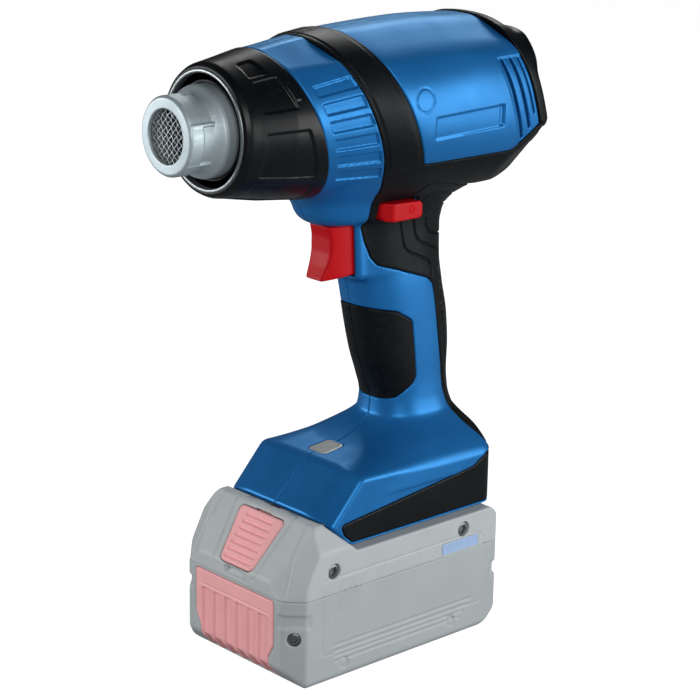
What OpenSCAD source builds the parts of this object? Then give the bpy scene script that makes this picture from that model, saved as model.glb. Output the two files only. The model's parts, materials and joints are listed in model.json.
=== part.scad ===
// Cordless pistol-grip heat gun on a slide-on battery pack.
// Frame: +Z up, base of the pack at Z = 0, the outlet points along -X,
// the plane Y = 0 is the parting plane of the clamshell housing, left is -Y. Millimetres.

/* [Overall] */
// Height of the barrel axis above the base of the pack
axis_z = 257.8; // [256:0.1:260]
// Housing wall thickness
wall = 2.8; // [2.4:0.1:3.2]
// Soft overmould thickness
soft_t = 1.3; // [1:0.1:1.5]
// Assembly clearance between neighbouring pieces
gap = 0.15; // [0.1:0.05:0.2]

/* [Outlet] */
// Radius of the outlet lip, the seat for accessory nozzles
lip_r = 17; // [16.5:0.1:17.5]
// Radius of the open mouth
mouth_r = 12.4; // [12:0.1:13]
// Radius of the outlet tube behind the shoulder
tube_r = 20.4; // [20:0.1:20.6]
// Front of the lip
lip_x = -106; // [-108:0.5:-105]
// Pitch of the wire guard
mesh_pitch = 2.6; // [2.2:0.1:3.2]

/* [Heat shield] */
// Radius at the front trim ring
shield_r0 = 27.1; // [27:0.1:28]
// Radius where the shield meets the housing collar
shield_r1 = 35.2; // [34.5:0.1:35.5]
// Slope of the raked seam between shield and collar
shield_rake = 0.37; // [0.3:0.01:0.4]

/* [Trigger] */
// Trigger width
trigger_w = 19; // [17:0.5:19]

/* [Fan and motor] */
// Impeller radius
fan_r = 28; // [26:0.5:29]
// Number of impeller blades
fan_blades = 11; // [9:1:13]
// Motor can radius
motor_r = 18; // [17:0.5:18.5]

/* [Battery pack] */
// Pack half width
pack_hw = 42; // [41:0.5:43]
// Front of the pack
pack_x0 = -67; // [-68:0.5:-66]
// Rear of the pack
pack_x1 = 66; // [65:0.5:67]
// Cell radius
cell_r = 10.5; // [10.3:0.1:10.5]
// Cell length
cell_l = 70; // [69:0.5:70]

/* [Hidden] */

// colours shared by several pieces
housing_blue = [0.05, 0.24, 0.5];
soft_black = [0.07, 0.08, 0.09];
control_red = [0.72, 0.08, 0.1];
pack_pink = [0.85, 0.45, 0.47];
board_green = [0.08, 0.33, 0.18];
contact_brass = [0.8, 0.68, 0.4];
spring_steel = [0.7, 0.7, 0.72];
holder_black = [0.15, 0.15, 0.16];

// fits shared by the gun and the pack
blade_y = [-18, -8, 8, 18];
rail_hw = 31;       // half width over the rails
rail_neck_hw = 28;  // half width below the rails
rail_z = 69.1;
rail_top = 74;
rail_gap = 0.4;

// ---------- helpers ----------
// box centred on Y = 0, from its front x and its bottom z
module mid_box(x, z, size) translate([x, -size.y / 2, z]) cube(size);
// turns +Z of the children to +X, starting at x
module along_x(x = 0, z = axis_z) translate([x, 0, z]) rotate([0, 90, 0]) children();
module ring_x(x, outer_r, inner_r, length) along_x(x) difference() {
  cylinder(r = outer_r, h = length, $fn = 96);
  translate([0, 0, -1]) cylinder(r = inner_r, h = length + 2, $fn = 96);
}
module coil(radius, wire_r, length, turns, slices)
  linear_extrude(height = length, twist = 360 * turns, slices = slices)
    translate([radius, 0]) circle(r = wire_r, $fn = 5);
// side outline in x and z, extruded from y0 to y1
module side_slab(outline, y0 = -100, y1 = 100)
  rotate([90, 0, 0]) translate([0, 0, -y1]) linear_extrude(y1 - y0) polygon(outline);
// block whose faces lean with a seam that crosses the barrel axis at x
module raked_block(x, rake, start, length)
  translate([x, 0, axis_z]) rotate([0, -atan(rake), 0])
    translate([start, -60, -80]) cube([length, 120, 160]);
module at_blades() for (y = blade_y) translate([0, y, 0]) children();

// ---------- sections and lofts ----------
section_points = 32;
cap_seam_x = 83;
cap_rake = 0.33;

// barrel stations: x on the axis, rake, half width, top, bottom, exponent, end shift
barrel_stations = [
  [-45.5, shield_rake, 34.3, 33.9, 37.0, 2.05, -1],
  [-25.0, 0.40, 37.0, 36.4, 38.4, 2.15, 0],
  [ 11.0, 0.42, 42.0, 39.6, 42.5, 2.2, 0],
  [ 50.0, 0.38, 42.0, 40.9, 42.5, 2.4, 0],
  [ 82.7, cap_rake, 39.8, 39.0, 41.0, 2.5, 1]];
// rear cap stations, same columns
cap_stations = [
  [cap_seam_x, cap_rake, 40.0, 39.2, 41.3, 2.5, -2],
  [ 88.5, 0.25, 39.6, 38.6, 41.3, 2.5, 0],
  [ 94.0, 0.16, 38.4, 37.0, 41.0, 2.6, 0],
  [ 99.0, 0.09, 36.4, 34.6, 40.2, 2.7, 0],
  [102.0, 0.06, 33.6, 31.6, 38.4, 2.8, 0],
  [103.4, 0.052, 31, 28.6, 36.2, 2.8, -1]];
// handle stations: level, front, rear, half width, exponent,
// rise of the level as a share of the inset, which insets the near-level faces too
handle_stations = [
  [240,  -40,   92,  30,   2.4, 0],
  [226,  -35,   80,  26,   2.4, 0],
  [217,  -32,   70,  21,   2.5, 0],
  [213,  -30,   62,  19.5, 2.5, 0.5],
  [208.5,-25,   57,  18.4, 2.5, 1],
  [206.5, -4,   55.5,17.6, 2.5, 1],
  [200,   -2.2, 53.8,17.2, 2.5, 0],
  [185,   -1.6, 54.4,17.2, 2.5, 0],
  [172,    1.6, 56.3,17.5, 2.4, 0],
  [154,    5.4, 60.6,17.5, 2.4, 0],
  [140,    9.1, 61.8,17.5, 2.4, 0],
  [126,   14.4, 60.8,17.5, 2.4, 0],
  [118,   16.9, 61.2,17.8, 2.4, 0],
  [110,   16.5, 63.5,19,   2.5, 0],
  [104,   12,   67,  22,   2.7, 0],
  [ 97,    0,   70,  27,   3.2, 0],
  [ 90,  -12,   70,  31,   4,   0]];
// foot stations, same columns
foot_stations = [
  [101,  -20,   50,  20,   3,   -1],
  [ 99.5,-24,   58,  24,   3.4, -0.9],
  [ 95,  -28,   66,  30.5, 4.2, -0.6],
  [ 90,  -32,   68,  34.8, 5.5, -0.3],
  [ 84,  -36.5, 68,  36.4, 7,   0],
  [ 76,  -42.5, 67,  36.4, 7,   0],
  [ 69,  -33,   66,  36.2, 8,   0],
  [ 62.4,-27.5, 63,  35.6, 8,   0]];

function signed_pow(v, n) = (v < 0 ? -1 : 1) * pow(abs(v), 2 / n);
// superellipse in a raked plane, shift is the unit of the end shift column
function raked_section(st, inset, shift) =
  [for (i = [0:section_points-1])
    let (c = cos(360 * i / section_points), s = sin(360 * i / section_points),
         z = (s > 0 ? st[3] - inset : st[4] - inset) * signed_pow(s, st[5]))
    [st[0] + shift * st[6] - st[1] * z, (st[2] - inset) * signed_pow(c, st[5]), axis_z + z]];
// superellipse in a level plane
function level_section(st, inset) =
  [for (i = [0:section_points-1])
    let (c = cos(360 * i / section_points), s = sin(360 * i / section_points))
    [(st[1] + st[2]) / 2 + ((st[2] - st[1]) / 2 - inset) * signed_pow(c, st[4]),
     (st[3] - inset) * signed_pow(s, st[4]),
     st[0] + inset * st[5]]];
module loft(sections)
  for (i = [0:len(sections)-2])
    hull() polyhedron(points = concat(sections[i], sections[i+1]),
      faces = [[for (j = [0:2*section_points-1]) j]]);

// an inset barrel runs out past both end seams
module barrel(inset)
  loft([for (st = barrel_stations) raked_section(st, inset, inset > 0 ? 4 : 0)]);
module handle(inset) loft([for (st = handle_stations) level_section(st, inset)]);
module foot(inset) loft([for (st = foot_stations) level_section(st, inset)]);
module cap_body(inset) loft([for (st = cap_stations) raked_section(st, inset, inset)]);
module envelope(inset) {
  barrel(inset);
  handle(inset);
  foot(inset);
}

// ---------- outlet and heater ----------
lip_bore_r = lip_r - 2.3;
lip_t = 3.2;         // thickness of the web around the mouth
tube_end_x = -77;
tube_wall = 1.2;
cover_web_x = -59;
heater_x = -82;
heater_r = 22;
sleeve_r = 21;

module nozzle_tube() color([0.72, 0.72, 0.74])
  along_x() rotate_extrude($fn = 96) polygon([
    [mouth_r, lip_x], [lip_r - 1.2, lip_x], [lip_r - 0.35, lip_x + 0.35],
    [lip_r, lip_x + 1.2], [lip_r, lip_x + 9],
    [lip_r - 0.8, lip_x + 9.8], [lip_r - 0.8, lip_x + 13], [lip_r + 0.6, lip_x + 14],
    [tube_r - 1, lip_x + 15.2], [tube_r, lip_x + 17], [tube_r, tube_end_x],
    [tube_r - tube_wall, tube_end_x], [tube_r - tube_wall, lip_x + 18],
    [lip_bore_r, lip_x + 15], [lip_bore_r, lip_x + lip_t], [mouth_r, lip_x + lip_t]]);
module outlet_mesh() color([0.55, 0.55, 0.56])
  along_x(lip_x + lip_t + 0.1) linear_extrude(0.8) difference() {
    circle(r = lip_bore_r - gap, $fn = 96);
    intersection() {
      circle(r = mouth_r - 0.2, $fn = 96);
      rotate(45) for (i = [-6:6], j = [-6:6])
        if (i*i + j*j < 30)
          translate([i * mesh_pitch, j * mesh_pitch]) square(mesh_pitch - 0.75, center = true);
    }
  }
// conical shield with a raked rear seam and a spigot that enters the collar
module front_cover() color([0.06, 0.065, 0.07]) {
  intersection() {
    along_x() rotate_extrude($fn = 128) polygon([
      [shield_r0 + 0.15, -84], [shield_r0 + 1.3, -83.4], [shield_r0 + 2.5, -81],
      [shield_r0 + 3.2, -77], [33.7, -58.9], [shield_r1, -46], [36.6, -34.5],
      [36.9, -28], [34.6, -28], [33, -46], [31.5, -58.9], [28.2, -77],
      [shield_r0 + 0.15, -80.5]]);
    raked_block(-45.9, shield_rake, -100, 100);
  }
  intersection() {
    along_x() rotate_extrude($fn = 128) polygon([
      [30.2, -62], [29.6, -62], [28.1, -56], [28.1, -30], [29.9, -30], [30.2, -38]]);
    raked_block(-41.9, shield_rake, -100, 100);
  }
  // inner web that carries the spigot
  ring_x(cover_web_x, outer_r = 31.9, inner_r = 24.5, length = 1.6);
}
module cover_ring() color([0.62, 0.63, 0.65])
  ring_x(-84.6, outer_r = shield_r0, inner_r = shield_r0 - 1.9, length = 3.4);
module heater_tube() color([0.66, 0.66, 0.67]) {
  ring_x(heater_x, outer_r = heater_r, inner_r = heater_r - 0.8, length = 68);
  // flange behind the web of the cover
  ring_x(cover_web_x + 2, outer_r = 24.2, inner_r = heater_r - 0.4, length = 1.4);
}
module mica_sleeve() color([0.78, 0.7, 0.52])
  ring_x(-76.5, outer_r = sleeve_r, inner_r = sleeve_r - 0.7, length = 56);
// three crossed plates
module heater_former() color([0.8, 0.74, 0.6])
  translate([-72, 0, axis_z]) for (a = [0, 60, 120])
    rotate([a, 0, 0]) mid_box(0, -0.5, [48, 30.4, 1]);
module heating_coil() color([0.45, 0.4, 0.38])
  along_x(-69) coil(radius = 17.3, wire_r = 1.1, length = 42, turns = 6, slices = 84);
module thermal_cutout() color([0.2, 0.2, 0.2]) translate([-16.5, 0, axis_z + 8]) {
  rotate([0, 90, 0]) cylinder(r = 4.5, h = 6, $fn = 32);
  for (y = [-2.5, 1.3]) translate([6, y, -0.4]) cube([5, 1.2, 0.8]);
}

// ---------- housing ----------
// screw bosses: x, distance of the screw head from the parting plane, z
boss_points = [[-20.6, 9, 214.9], [52, 10.5, 213.5], [48, 8.6, 176], [52, 10, 120], [30, 16, 99]];
lens_x = -12.3;
// side outline of the neck that the front cover takes up
neck_cut = [[-90, axis_z - 37.4], [-31.81, axis_z - 37.4],
            [-60.45, axis_z + 40], [-90, axis_z + 40]];

// side outlines of the soft skins in x and z, o is the outward offset
// saddle and spine
function band_outline(o) = [
  [-35.8 - o, 302], [-3.2 - o, 226], [-2.6 - o, 216], [-2.2 - o, 205], [0 - o, 198 - o],
  [3.4 - o, 190 - o], [7, 186 - o], [17, 183 - o], [37 - o, 176 - o], [41 - o, 172.5],
  [43 - o, 164], [44.5 - o, 153], [47.6 - o, 134], [49.4 - o, 120], [52 - o, 112],
  [58 - o, 100.5], [65 - o, 92 - o], [69 - o, 88.6 - o], [100, 88.6 - o],
  [112, 200], [112, 232], [88 + 2*o, 248 + o], [82, 244.2 + o], [74, 239.4 + o],
  [68.8, 236.5 + o], [13.5 + o, 236.5 + o], [-17 + o, 302]];
// front of the grip
function grip_outline(o) = [
  [-12, 168 + o], [4, 165.2 + o], [18.5, 162.3 + o], [27.5 + o, 156.7], [29.3 + o, 143.6],
  [31.1 + o, 128.3], [29.8 + o, 125.2], [22, 118.4 - o], [18, 117.2 - o], [12, 118 - o],
  [0, 121 - o], [-12, 121 - o]];
// side of the foot
function panel_outline(o) = [
  [-33.5 - o, 73.4 + o], [52, 83.2 + o], [57, 85.8 + o], [62, 88.4 + o], [100, 88.4 + o],
  [100, 63.6 - o], [-26, 63.6 - o], [-31 - o, 68]];

// half space, side is -1 for left and 1 for right
module half(side) translate([-150, side > 0 ? 0 : -100, 0]) cube([300, 100, 330]);
module rail_slot(clear, length)
  mid_box(-60, rail_z - clear, [length, 2 * (rail_hw + clear), rail_top - rail_z + 2 * clear]);
// channel in the foot that takes the rails of the pack
module pack_channel() {
  rail_slot(rail_gap, 112);
  mid_box(-60, 55, [112, 2 * (rail_neck_hw + rail_gap), rail_top + rail_gap - 55]);
  mid_box(-60, 70, [35, 13, 7]);
  at_blades() mid_box(27.5, 70, [17, 1.4, 8]);
}
module cavity() difference() {
  union() {
    barrel(wall);
    handle(wall + 0.2);
    foot(wall);
  }
  // solid floor over the pack channel
  mid_box(-70, 50, [140, 100, 27.5]);
}
// leaning slots in the rear of the barrel
module vents(side)
  for (i = [0:2]) translate([59 + i * 7.2, 0, axis_z]) rotate([0, -16, 0])
    translate([-1.3, side > 0 ? 15 : -55, -13]) cube([2.6, 40, 26]);
module trigger_opening(clear, rear_x)
  mid_box(-30, 181.75 - clear, [rear_x + 30, trigger_w + 2 * clear, 24.6 + 2 * clear]);
module lock_slot() mid_box(-3.8, 207.75, [29.6, 80, 10.05]);
module lens_prism(z, r)
  translate([lens_x, 0, z]) scale([1, 0.52, 1]) cylinder(r = r, h = 30, $fn = 6);
// through on the right, blind on the left
module screw_hole(p, side) translate([p.x, 0, p.z]) rotate([90, 0, 0])
  cylinder(r = 1.75, h = side > 0 ? 60 : 2 * p.y + 5, center = true, $fn = 12);
module head_pockets()
  for (p = boss_points) translate(p) rotate([-90, 0, 0]) cylinder(r = 3.1, h = 40, $fn = 16);

module shell(side) {
  intersection() {
    half(side);
    difference() {
      envelope(0);
      cavity();
      pack_channel();
      trigger_opening(clear = 0.35, rear_x = 6.7);
      side_slab(neck_cut, -40, 40);
      lock_slot();
      lens_prism(z = 80, r = 13.4);
      vents(side);
      for (p = boss_points) screw_hole(p, side);
      // recesses for the soft skins
      for (outline = [band_outline(gap), grip_outline(gap), panel_outline(gap)])
        difference() {
          side_slab(outline);
          envelope(soft_t + gap);
        }
    }
  }
  // screw bosses on the parting plane
  for (p = boss_points) intersection() {
    half(side);
    envelope(wall - 1.2);
    difference() {
      translate([p.x, 0, p.z]) rotate([90, 0, 0])
        cylinder(r = 3.4, h = 46, center = true, $fn = 12);
      screw_hole(p, side);
    }
  }
}
module housing_left() color(housing_blue) shell(-1);
module housing_right() color(housing_blue) difference() {
  shell(1);
  head_pockets();
}
// one side of the outer layer of the housing within an outline
module skin(side, outline) intersection() {
  half(side);
  side_slab(outline);
  difference() {
    envelope(0);
    envelope(soft_t);
  }
}
module soft_band(side) difference() {
  skin(side, band_outline(0));
  trigger_opening(clear = 0.45, rear_x = 6.1);
  lock_slot();
  // the band stops at the rear cap
  raked_block(cap_seam_x, cap_rake, -0.15, 60);
  if (side > 0) head_pockets();
}
module soft_band_left() color(soft_black) soft_band(-1);
module soft_band_right() color(soft_black) soft_band(1);
module front_grip_left() color(soft_black) skin(-1, grip_outline(0));
module front_grip_right() color(soft_black) skin(1, grip_outline(0));
module foot_panel(side) difference() {
  skin(side, panel_outline(0));
  mid_box(-60, 55, [160, 2 * (rail_neck_hw + rail_gap), 22]);
  rail_slot(rail_gap + 0.1, 111);
}
module foot_panel_left() color(soft_black) foot_panel(-1);
module foot_panel_right() color(soft_black) foot_panel(1);
module rear_cap() color(soft_black) difference() {
  cap_body(0);
  cap_body(2.4);
  // intake slots in the end face, shorter away from the middle
  for (i = [-4:4]) mid_box(98, axis_z - 6 + i * 6.4, [10, 48 - abs(i) * 3, 3]);
}
module intake_screen() color([0.3, 0.3, 0.31])
  along_x(95.6, axis_z - 4) linear_extrude(0.8) difference() {
    square([50, 50], center = true);
    for (i = [-3:3], j = [-3:3]) translate([i * 6, j * 6]) square(4.8, center = true);
  }
module housing_screws() color([0.25, 0.25, 0.27])
  for (p = boss_points) translate([p.x, 0, p.z]) rotate([-90, 0, 0]) difference() {
    union() {
      translate([0, 0, -p.y]) cylinder(r = 1.6, h = 2 * p.y + 0.2, $fn = 32);
      translate([0, 0, p.y + 0.1]) cylinder(r = 2.9, h = 2.2, $fn = 32);
    }
    translate([0, 0, p.y + 1.2]) cylinder(r = 1.3, h = 3, $fn = 6);
  }
module led_lens() color([0.8, 0.8, 0.78, 0.7]) intersection() {
  union() {
    foot(0);
    handle(0);
  }
  lens_prism(z = 96.6, r = 13.1);
}
module led_board() color([0.1, 0.35, 0.2]) {
  mid_box(-18, 93, [12, 10, 1.2]);
  mid_box(-13.5, 94.2, [3, 3, 0.9]);
}

// ---------- fan and motor ----------
shaft_r = 1.6;
press_bore_r = shaft_r + 0.03;  // bore of the parts that turn with the shaft
bush_r = 4.25;
bush_seat_r = bush_r + 0.05;
hoop_x = 24;
hoop_l = 14;
can_x = 14;
fan_x = 60;
fan_disc_t = 1.8;

module air_duct() color([0.16, 0.16, 0.17]) {
  along_x() rotate_extrude($fn = 96) polygon([
    [22.3, -21], [23.7, -21], [23.7, -10], [31.8, 6],
    [31.8, 75], [30.2, 75], [30.2, 6.4], [22.3, -9.6]]);
  // hoop and spokes that carry the motor
  ring_x(hoop_x, outer_r = motor_r + 1.6, inner_r = motor_r + 0.05, length = hoop_l);
  for (a = [45:90:315]) translate([hoop_x, 0, axis_z]) rotate([a, 0, 0])
    translate([0, motor_r + 1.2, -0.9]) cube([hoop_l, 31 - motor_r - 1.2, 1.8]);
}
module motor_can() color([0.6, 0.6, 0.6]) {
  ring_x(can_x, outer_r = motor_r, inner_r = motor_r - 1.2, length = 36);
  ring_x(can_x, outer_r = motor_r - 0.6, inner_r = bush_seat_r, length = 1.4);
  ring_x(can_x - 3, outer_r = 5.6, inner_r = bush_seat_r, length = 3.6);
}
module motor_end_bell() color([0.12, 0.12, 0.12]) {
  ring_x(50.1, outer_r = motor_r, inner_r = bush_seat_r, length = 2.2);
  ring_x(52.2, outer_r = 7, inner_r = bush_seat_r, length = 3);
  for (s = [-1, 1]) translate([51, s * 11 - 2.5, axis_z - 1.2]) cube([5, 5, 2.4]);
}
module motor_magnets() color([0.2, 0.2, 0.21]) for (a = [0, 180])
  along_x(20) rotate([0, 0, a + 25]) rotate_extrude(angle = 130, $fn = 96)
    translate([motor_r - 4.6, 0]) square([3.3, 24]);
module motor_bushes() color([0.72, 0.55, 0.3])
  for (x = [11.2, 51]) ring_x(x, outer_r = bush_r, inner_r = shaft_r + 0.05, length = 4);
module rotor_shaft() color([0.75, 0.75, 0.77])
  along_x(9) cylinder(r = shaft_r, h = 64, $fn = 48);
// slotted core with the commutator behind it
module rotor_core() color([0.5, 0.33, 0.22]) {
  along_x(22) difference() {
    cylinder(r = motor_r - 5.4, h = 20, $fn = 96);
    for (a = [0:60:300]) rotate(a + 10) translate([8, -1, -1]) cube([10, 2, 22]);
    translate([0, 0, -1]) cylinder(r = press_bore_r, h = 22, $fn = 48);
  }
  ring_x(42, outer_r = 4.5, inner_r = press_bore_r, length = 7);
}
// disc, hub and canted blades
module fan_impeller() color([0.1, 0.1, 0.11]) {
  blade_x = fan_x + fan_disc_t - 0.1;
  ring_x(fan_x, outer_r = fan_r, inner_r = press_bore_r, length = fan_disc_t);
  ring_x(blade_x, outer_r = 5, inner_r = press_bore_r, length = 9);
  for (i = [0:fan_blades-1])
    translate([blade_x, 0, axis_z]) rotate([i * 360 / fan_blades, 0, 0])
      translate([0, 9, 0]) rotate([-28, 0, 0])
        translate([0, 0, -0.7]) cube([10.5, fan_r - 12, 1.4]);
}

// ---------- controls ----------
switch_z = 193;
plunger_r = 3.5;
trigger_z = 182;
trigger_h = 24.2;
lock_outline = [[-3.2, 210], [-0.5, 208], [23.8, 208], [25.3, 209.5],
                [25.3, 214.6], [23.8, 216.2], [-1.8, 217.4], [-3.2, 216.2]];

// upright column at one corner of the trigger, set in from its side by its radius
module trigger_corner(x, side, r)
  translate([x, side * (trigger_w/2 - r), trigger_z]) cylinder(r = r, h = trigger_h, $fn = 32);
module trigger() color(control_red) {
  difference() {
    hull() for (side = [-1, 1]) {
      trigger_corner(-13.4, side, 3.6);
      trigger_corner(1, side, 1);
    }
    // finger hollow
    translate([-62.5, 0, switch_z]) rotate([90, 0, 0])
      cylinder(r = 47, h = 40, center = true, $fn = 128);
  }
  // stem and the plate behind it
  mid_box(1.9, 184, [3.8, 16, 20]);
  mid_box(5.6, 179.4, [2, 16.4, 26.6]);
}
module switch_plunger() color([0.85, 0.85, 0.83])
  along_x(7.7, switch_z) cylinder(r = plunger_r, h = 17.3, $fn = 48);
module trigger_spring() color(spring_steel)
  along_x(8.6, switch_z) coil(radius = 4.6, wire_r = 0.6, length = 7, turns = 3, slices = 36);
module switch_body() color([0.12, 0.12, 0.13]) difference() {
  mid_box(16.5, 182.2, [27.5, 21, 23]);
  along_x(15, switch_z) cylinder(r = plunger_r + 0.1, h = 17.5, $fn = 48);
  along_x(15, switch_z) cylinder(r = 5.8, h = 9, $fn = 48);
}
// cross-bolt through the handle, standing out further on the left
module lock_slide() color(control_red) side_slab(lock_outline, -24.6, 19);

// ---------- electronics ----------
board_z = 79.5;
board_t = 1.6;
// parts on the control board: x, y, length, width
board_parts = [[-20, -17, 5, 6], [-20, 8, 8, 8], [4, -14, 9, 9], [3, 6, 10, 7]];

module control_board() color(board_green) {
  mid_box(-24, board_z, [40, 40, board_t]);
  for (p = board_parts)
    translate([p[0], p[1], board_z + board_t - 0.05]) cube([p[2], p[3], 1.9]);
}
module heat_sink() color([0.7, 0.71, 0.73]) {
  mid_box(-21, 83.2, [34, 32, 1.8]);
  for (i = [-5:5]) translate([0, i * 3, 0]) mid_box(-21, 84.9, [34, 1, 6]);
}
module terminal_block() color([0.1, 0.1, 0.11]) {
  mid_box(21, 77.6, [29, 46, 5.6]);
  at_blades() mid_box(26, 83.1, [9, 4.4, 2.4]);
}
module contact_blades() color(contact_brass) at_blades() mid_box(28, 65.5, [16, 0.8, 12]);
module wire_harness() color([0.6, 0.1, 0.1]) {
  for (y = [-4, 0, 4]) translate([42, y, 84]) cylinder(r = 1.1, h = 97.6, $fn = 24);
  for (y = [-5, 5]) translate([36, y, 205.6]) cylinder(r = 1.3, h = 18, $fn = 24);
}

// ---------- battery pack ----------
case_split_z = 44;
badge_z = 47.6;
latch_angle = 37.7;  // slope of the latch face from the vertical
latch_spring_x = -40;
panel_z = 22;
panel_w = 56;
cell_x = [for (i = [-2:2]) i * 21.8];
cell_z = [14, 35.3];

// thin level plate with chamfered corners
module plan_slice(z, x0, x1, hw, chamfer) translate([0, 0, z]) linear_extrude(0.1) polygon([
  [x0 + chamfer, -hw], [x1 - chamfer, -hw], [x1, -hw + chamfer], [x1, hw - chamfer],
  [x1 - chamfer, hw], [x0 + chamfer, hw], [x0, hw - chamfer], [x0, -hw + chamfer]]);
// slice of the pack, set in at the front, rear and sides
module pack_slice(z, front, rear, side, chamfer)
  plan_slice(z, pack_x0 + front, pack_x1 - rear, pack_hw - side, chamfer);
module latch_frame() translate([-57.5, 0, 62.2]) rotate([0, latch_angle, 0]) children();
// tapered plate from x0 to x1, grown by clear
module latch_plate(clear, x0, x1) {
  length = x1 - x0 + 2 * clear;
  hull() {
    mid_box(x0 - clear, 13.9, [length, 31 + 2 * clear, 0.1 + clear]);
    mid_box(x0 - clear, -14 - clear, [length, 22.4 + 2 * clear, 0.1]);
  }
}
// both sides of the pack, pointing inwards from a depth below the side face
module at_pack_screws(depth)
  for (s = [-1, 1], x = [-42, 41.5])
    translate([x, s * (pack_hw - depth), 55]) rotate([s * 90, 0, 0]) children();
module badge_plates(depth, size)
  for (s = [-1, 1])
    translate([39.5, s * (pack_hw - depth), badge_z]) rotate([90, 0, 0])
      cube(size, center = true);

module pack_lower_case() color([0.62, 0.64, 0.65]) difference() {
  hull() {
    pack_slice(0, 10, 10, 3, 8);
    pack_slice(3.4, 6.6, 6.6, 0, 8);
    pack_slice(10, 0, 0, 0, 9);
    pack_slice(case_split_z - 0.1, 0, 0, 0, 9);
  }
  hull() {
    pack_slice(2.6, 12, 12, 4, 7);
    pack_slice(11, 3.6, 3, 2.6, 8);
    pack_slice(50, 3.6, 3, 2.6, 8);
  }
  // front panel opening and shallow side recesses
  mid_box(pack_x0 - 1, panel_z - 0.2, [2.7, panel_w + 0.4, 30]);
  for (s = [-1, 1]) translate([6, s * pack_hw, 26]) cube([96, 1.2, 14], center = true);
}
module pack_upper_case() color([0.66, 0.68, 0.69]) difference() {
  union() {
    hull() {
      pack_slice(case_split_z + 0.1, 0, 0, 0, 9);
      pack_slice(57.5, 4, 1, 0, 9);
      pack_slice(61.9, 8, 4, 5, 8);
    }
    // tower around the latch
    hull() {
      plan_slice(50, pack_x0 + 0.6, -44.6, 34, 8);
      plan_slice(75.9, -51, -44.6, 26, 3);
    }
    // rails
    mid_box(-45, 60, [96, 2 * rail_neck_hw, rail_top - 60]);
    mid_box(-45, rail_z, [96, 2 * rail_hw, rail_top - rail_z]);
  }
  hull() {
    pack_slice(40, 3.6, 3, 2.6, 8);
    pack_slice(56.5, 7, 4, 3, 8);
    pack_slice(59.4, 10, 7, 8, 8);
  }
  latch_frame() latch_plate(0.4, -8, 7.4);
  // slot for the latch arm, open into the spring well
  mid_box(-56, 66.4, [29, 11.2, 20]);
  translate([latch_spring_x, 0, 55]) cylinder(r = 4.4, h = 14, $fn = 32);
  at_blades() mid_box(24, 55, [40, 2.6, 30]);
  badge_plates(0, [24.4, 5.9, 1.2]);
  at_pack_screws(-0.1) cylinder(r = 3.7, h = 2.9, $fn = 32);
}
module pack_front_panel() color(pack_pink) difference() {
  mid_box(pack_x0 - 0.3, panel_z, [1.9, panel_w, 20.6]);
  for (i = [-3:3]) translate([0, i * 7, 0]) mid_box(pack_x0 - 1, 24.5, [1.5, 1.6, 15]);
}
module pack_badges() color([0.55, 0.65, 0.85]) badge_plates(0.3, [24, 5.5, 0.6]);
module pack_screws() color([0.35, 0.36, 0.37]) at_pack_screws(0.6) difference() {
  cylinder(r = 3.4, h = 2, $fn = 48);
  translate([0, 0, -1]) cylinder(r = 1.6, h = 2, $fn = 6);
}
// grooved plate with an arm and a catch
module latch_button() color(pack_pink) {
  latch_frame() difference() {
    latch_plate(0, -1, 3.4);
    for (i = [-3:3]) mid_box(-2, i * 3.6 - 0.7, [1.9, 19, 1.4]);
  }
  mid_box(-49, 70.6, [18, 10, 2.6]);
  mid_box(-36, 73.1, [5, 10, 3.3]);
}
module latch_spring() color(spring_steel)
  translate([latch_spring_x, 0, 60.3])
    coil(radius = 3.1, wire_r = 0.6, length = 9.6, turns = 4, slices = 48);
module cell_cylinders(r, length)
  for (x = cell_x, z = cell_z)
    translate([x, 0, z]) rotate([90, 0, 0]) cylinder(r = r, h = length, center = true, $fn = 64);
module cells() color([0.3, 0.5, 0.35]) cell_cylinders(cell_r, cell_l);
module cell_holder(side) difference() {
  translate([-56.5, side > 0 ? 26 : -32, 5.4]) cube([113, 6, 41.2]);
  cell_cylinders(cell_r + 0.08, 100);
}
module cell_holder_left() color(holder_black) cell_holder(-1);
module cell_holder_right() color(holder_black) cell_holder(1);
module cell_straps() color([0.75, 0.75, 0.72]) for (s = [-1, 1], x = cell_x)
  translate([0, s * (cell_l/2 + 0.25), 0]) mid_box(x - 4, 10, [8, 0.3, 29.5]);
module pack_board() color(board_green) {
  mid_box(-48, 49.5, [98, 48, 1.6]);
  for (x = [-30, -10, 8]) translate([x, -8, 51]) cube([9, 14, 2.2]);
}
// a pair of leaves for each blade
module pack_contacts() color(contact_brass)
  at_blades() for (s = [-1, 1]) translate([0, s * 0.95, 0]) mid_box(27, 51.3, [18, 0.4, 20.5]);

nozzle_tube();
outlet_mesh();
front_cover();
cover_ring();
heater_tube();
mica_sleeve();
heater_former();
heating_coil();
thermal_cutout();
housing_left();
housing_right();
soft_band_left();
soft_band_right();
front_grip_left();
front_grip_right();
foot_panel_left();
foot_panel_right();
rear_cap();
intake_screen();
housing_screws();
led_lens();
led_board();
air_duct();
motor_can();
motor_end_bell();
motor_magnets();
motor_bushes();
rotor_shaft();
rotor_core();
fan_impeller();
trigger();
switch_plunger();
trigger_spring();
switch_body();
lock_slide();
control_board();
heat_sink();
terminal_block();
contact_blades();
wire_harness();
pack_lower_case();
pack_upper_case();
pack_front_panel();
pack_badges();
pack_screws();
latch_button();
latch_spring();
cells();
cell_holder_left();
cell_holder_right();
cell_straps();
pack_board();
pack_contacts();
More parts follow.
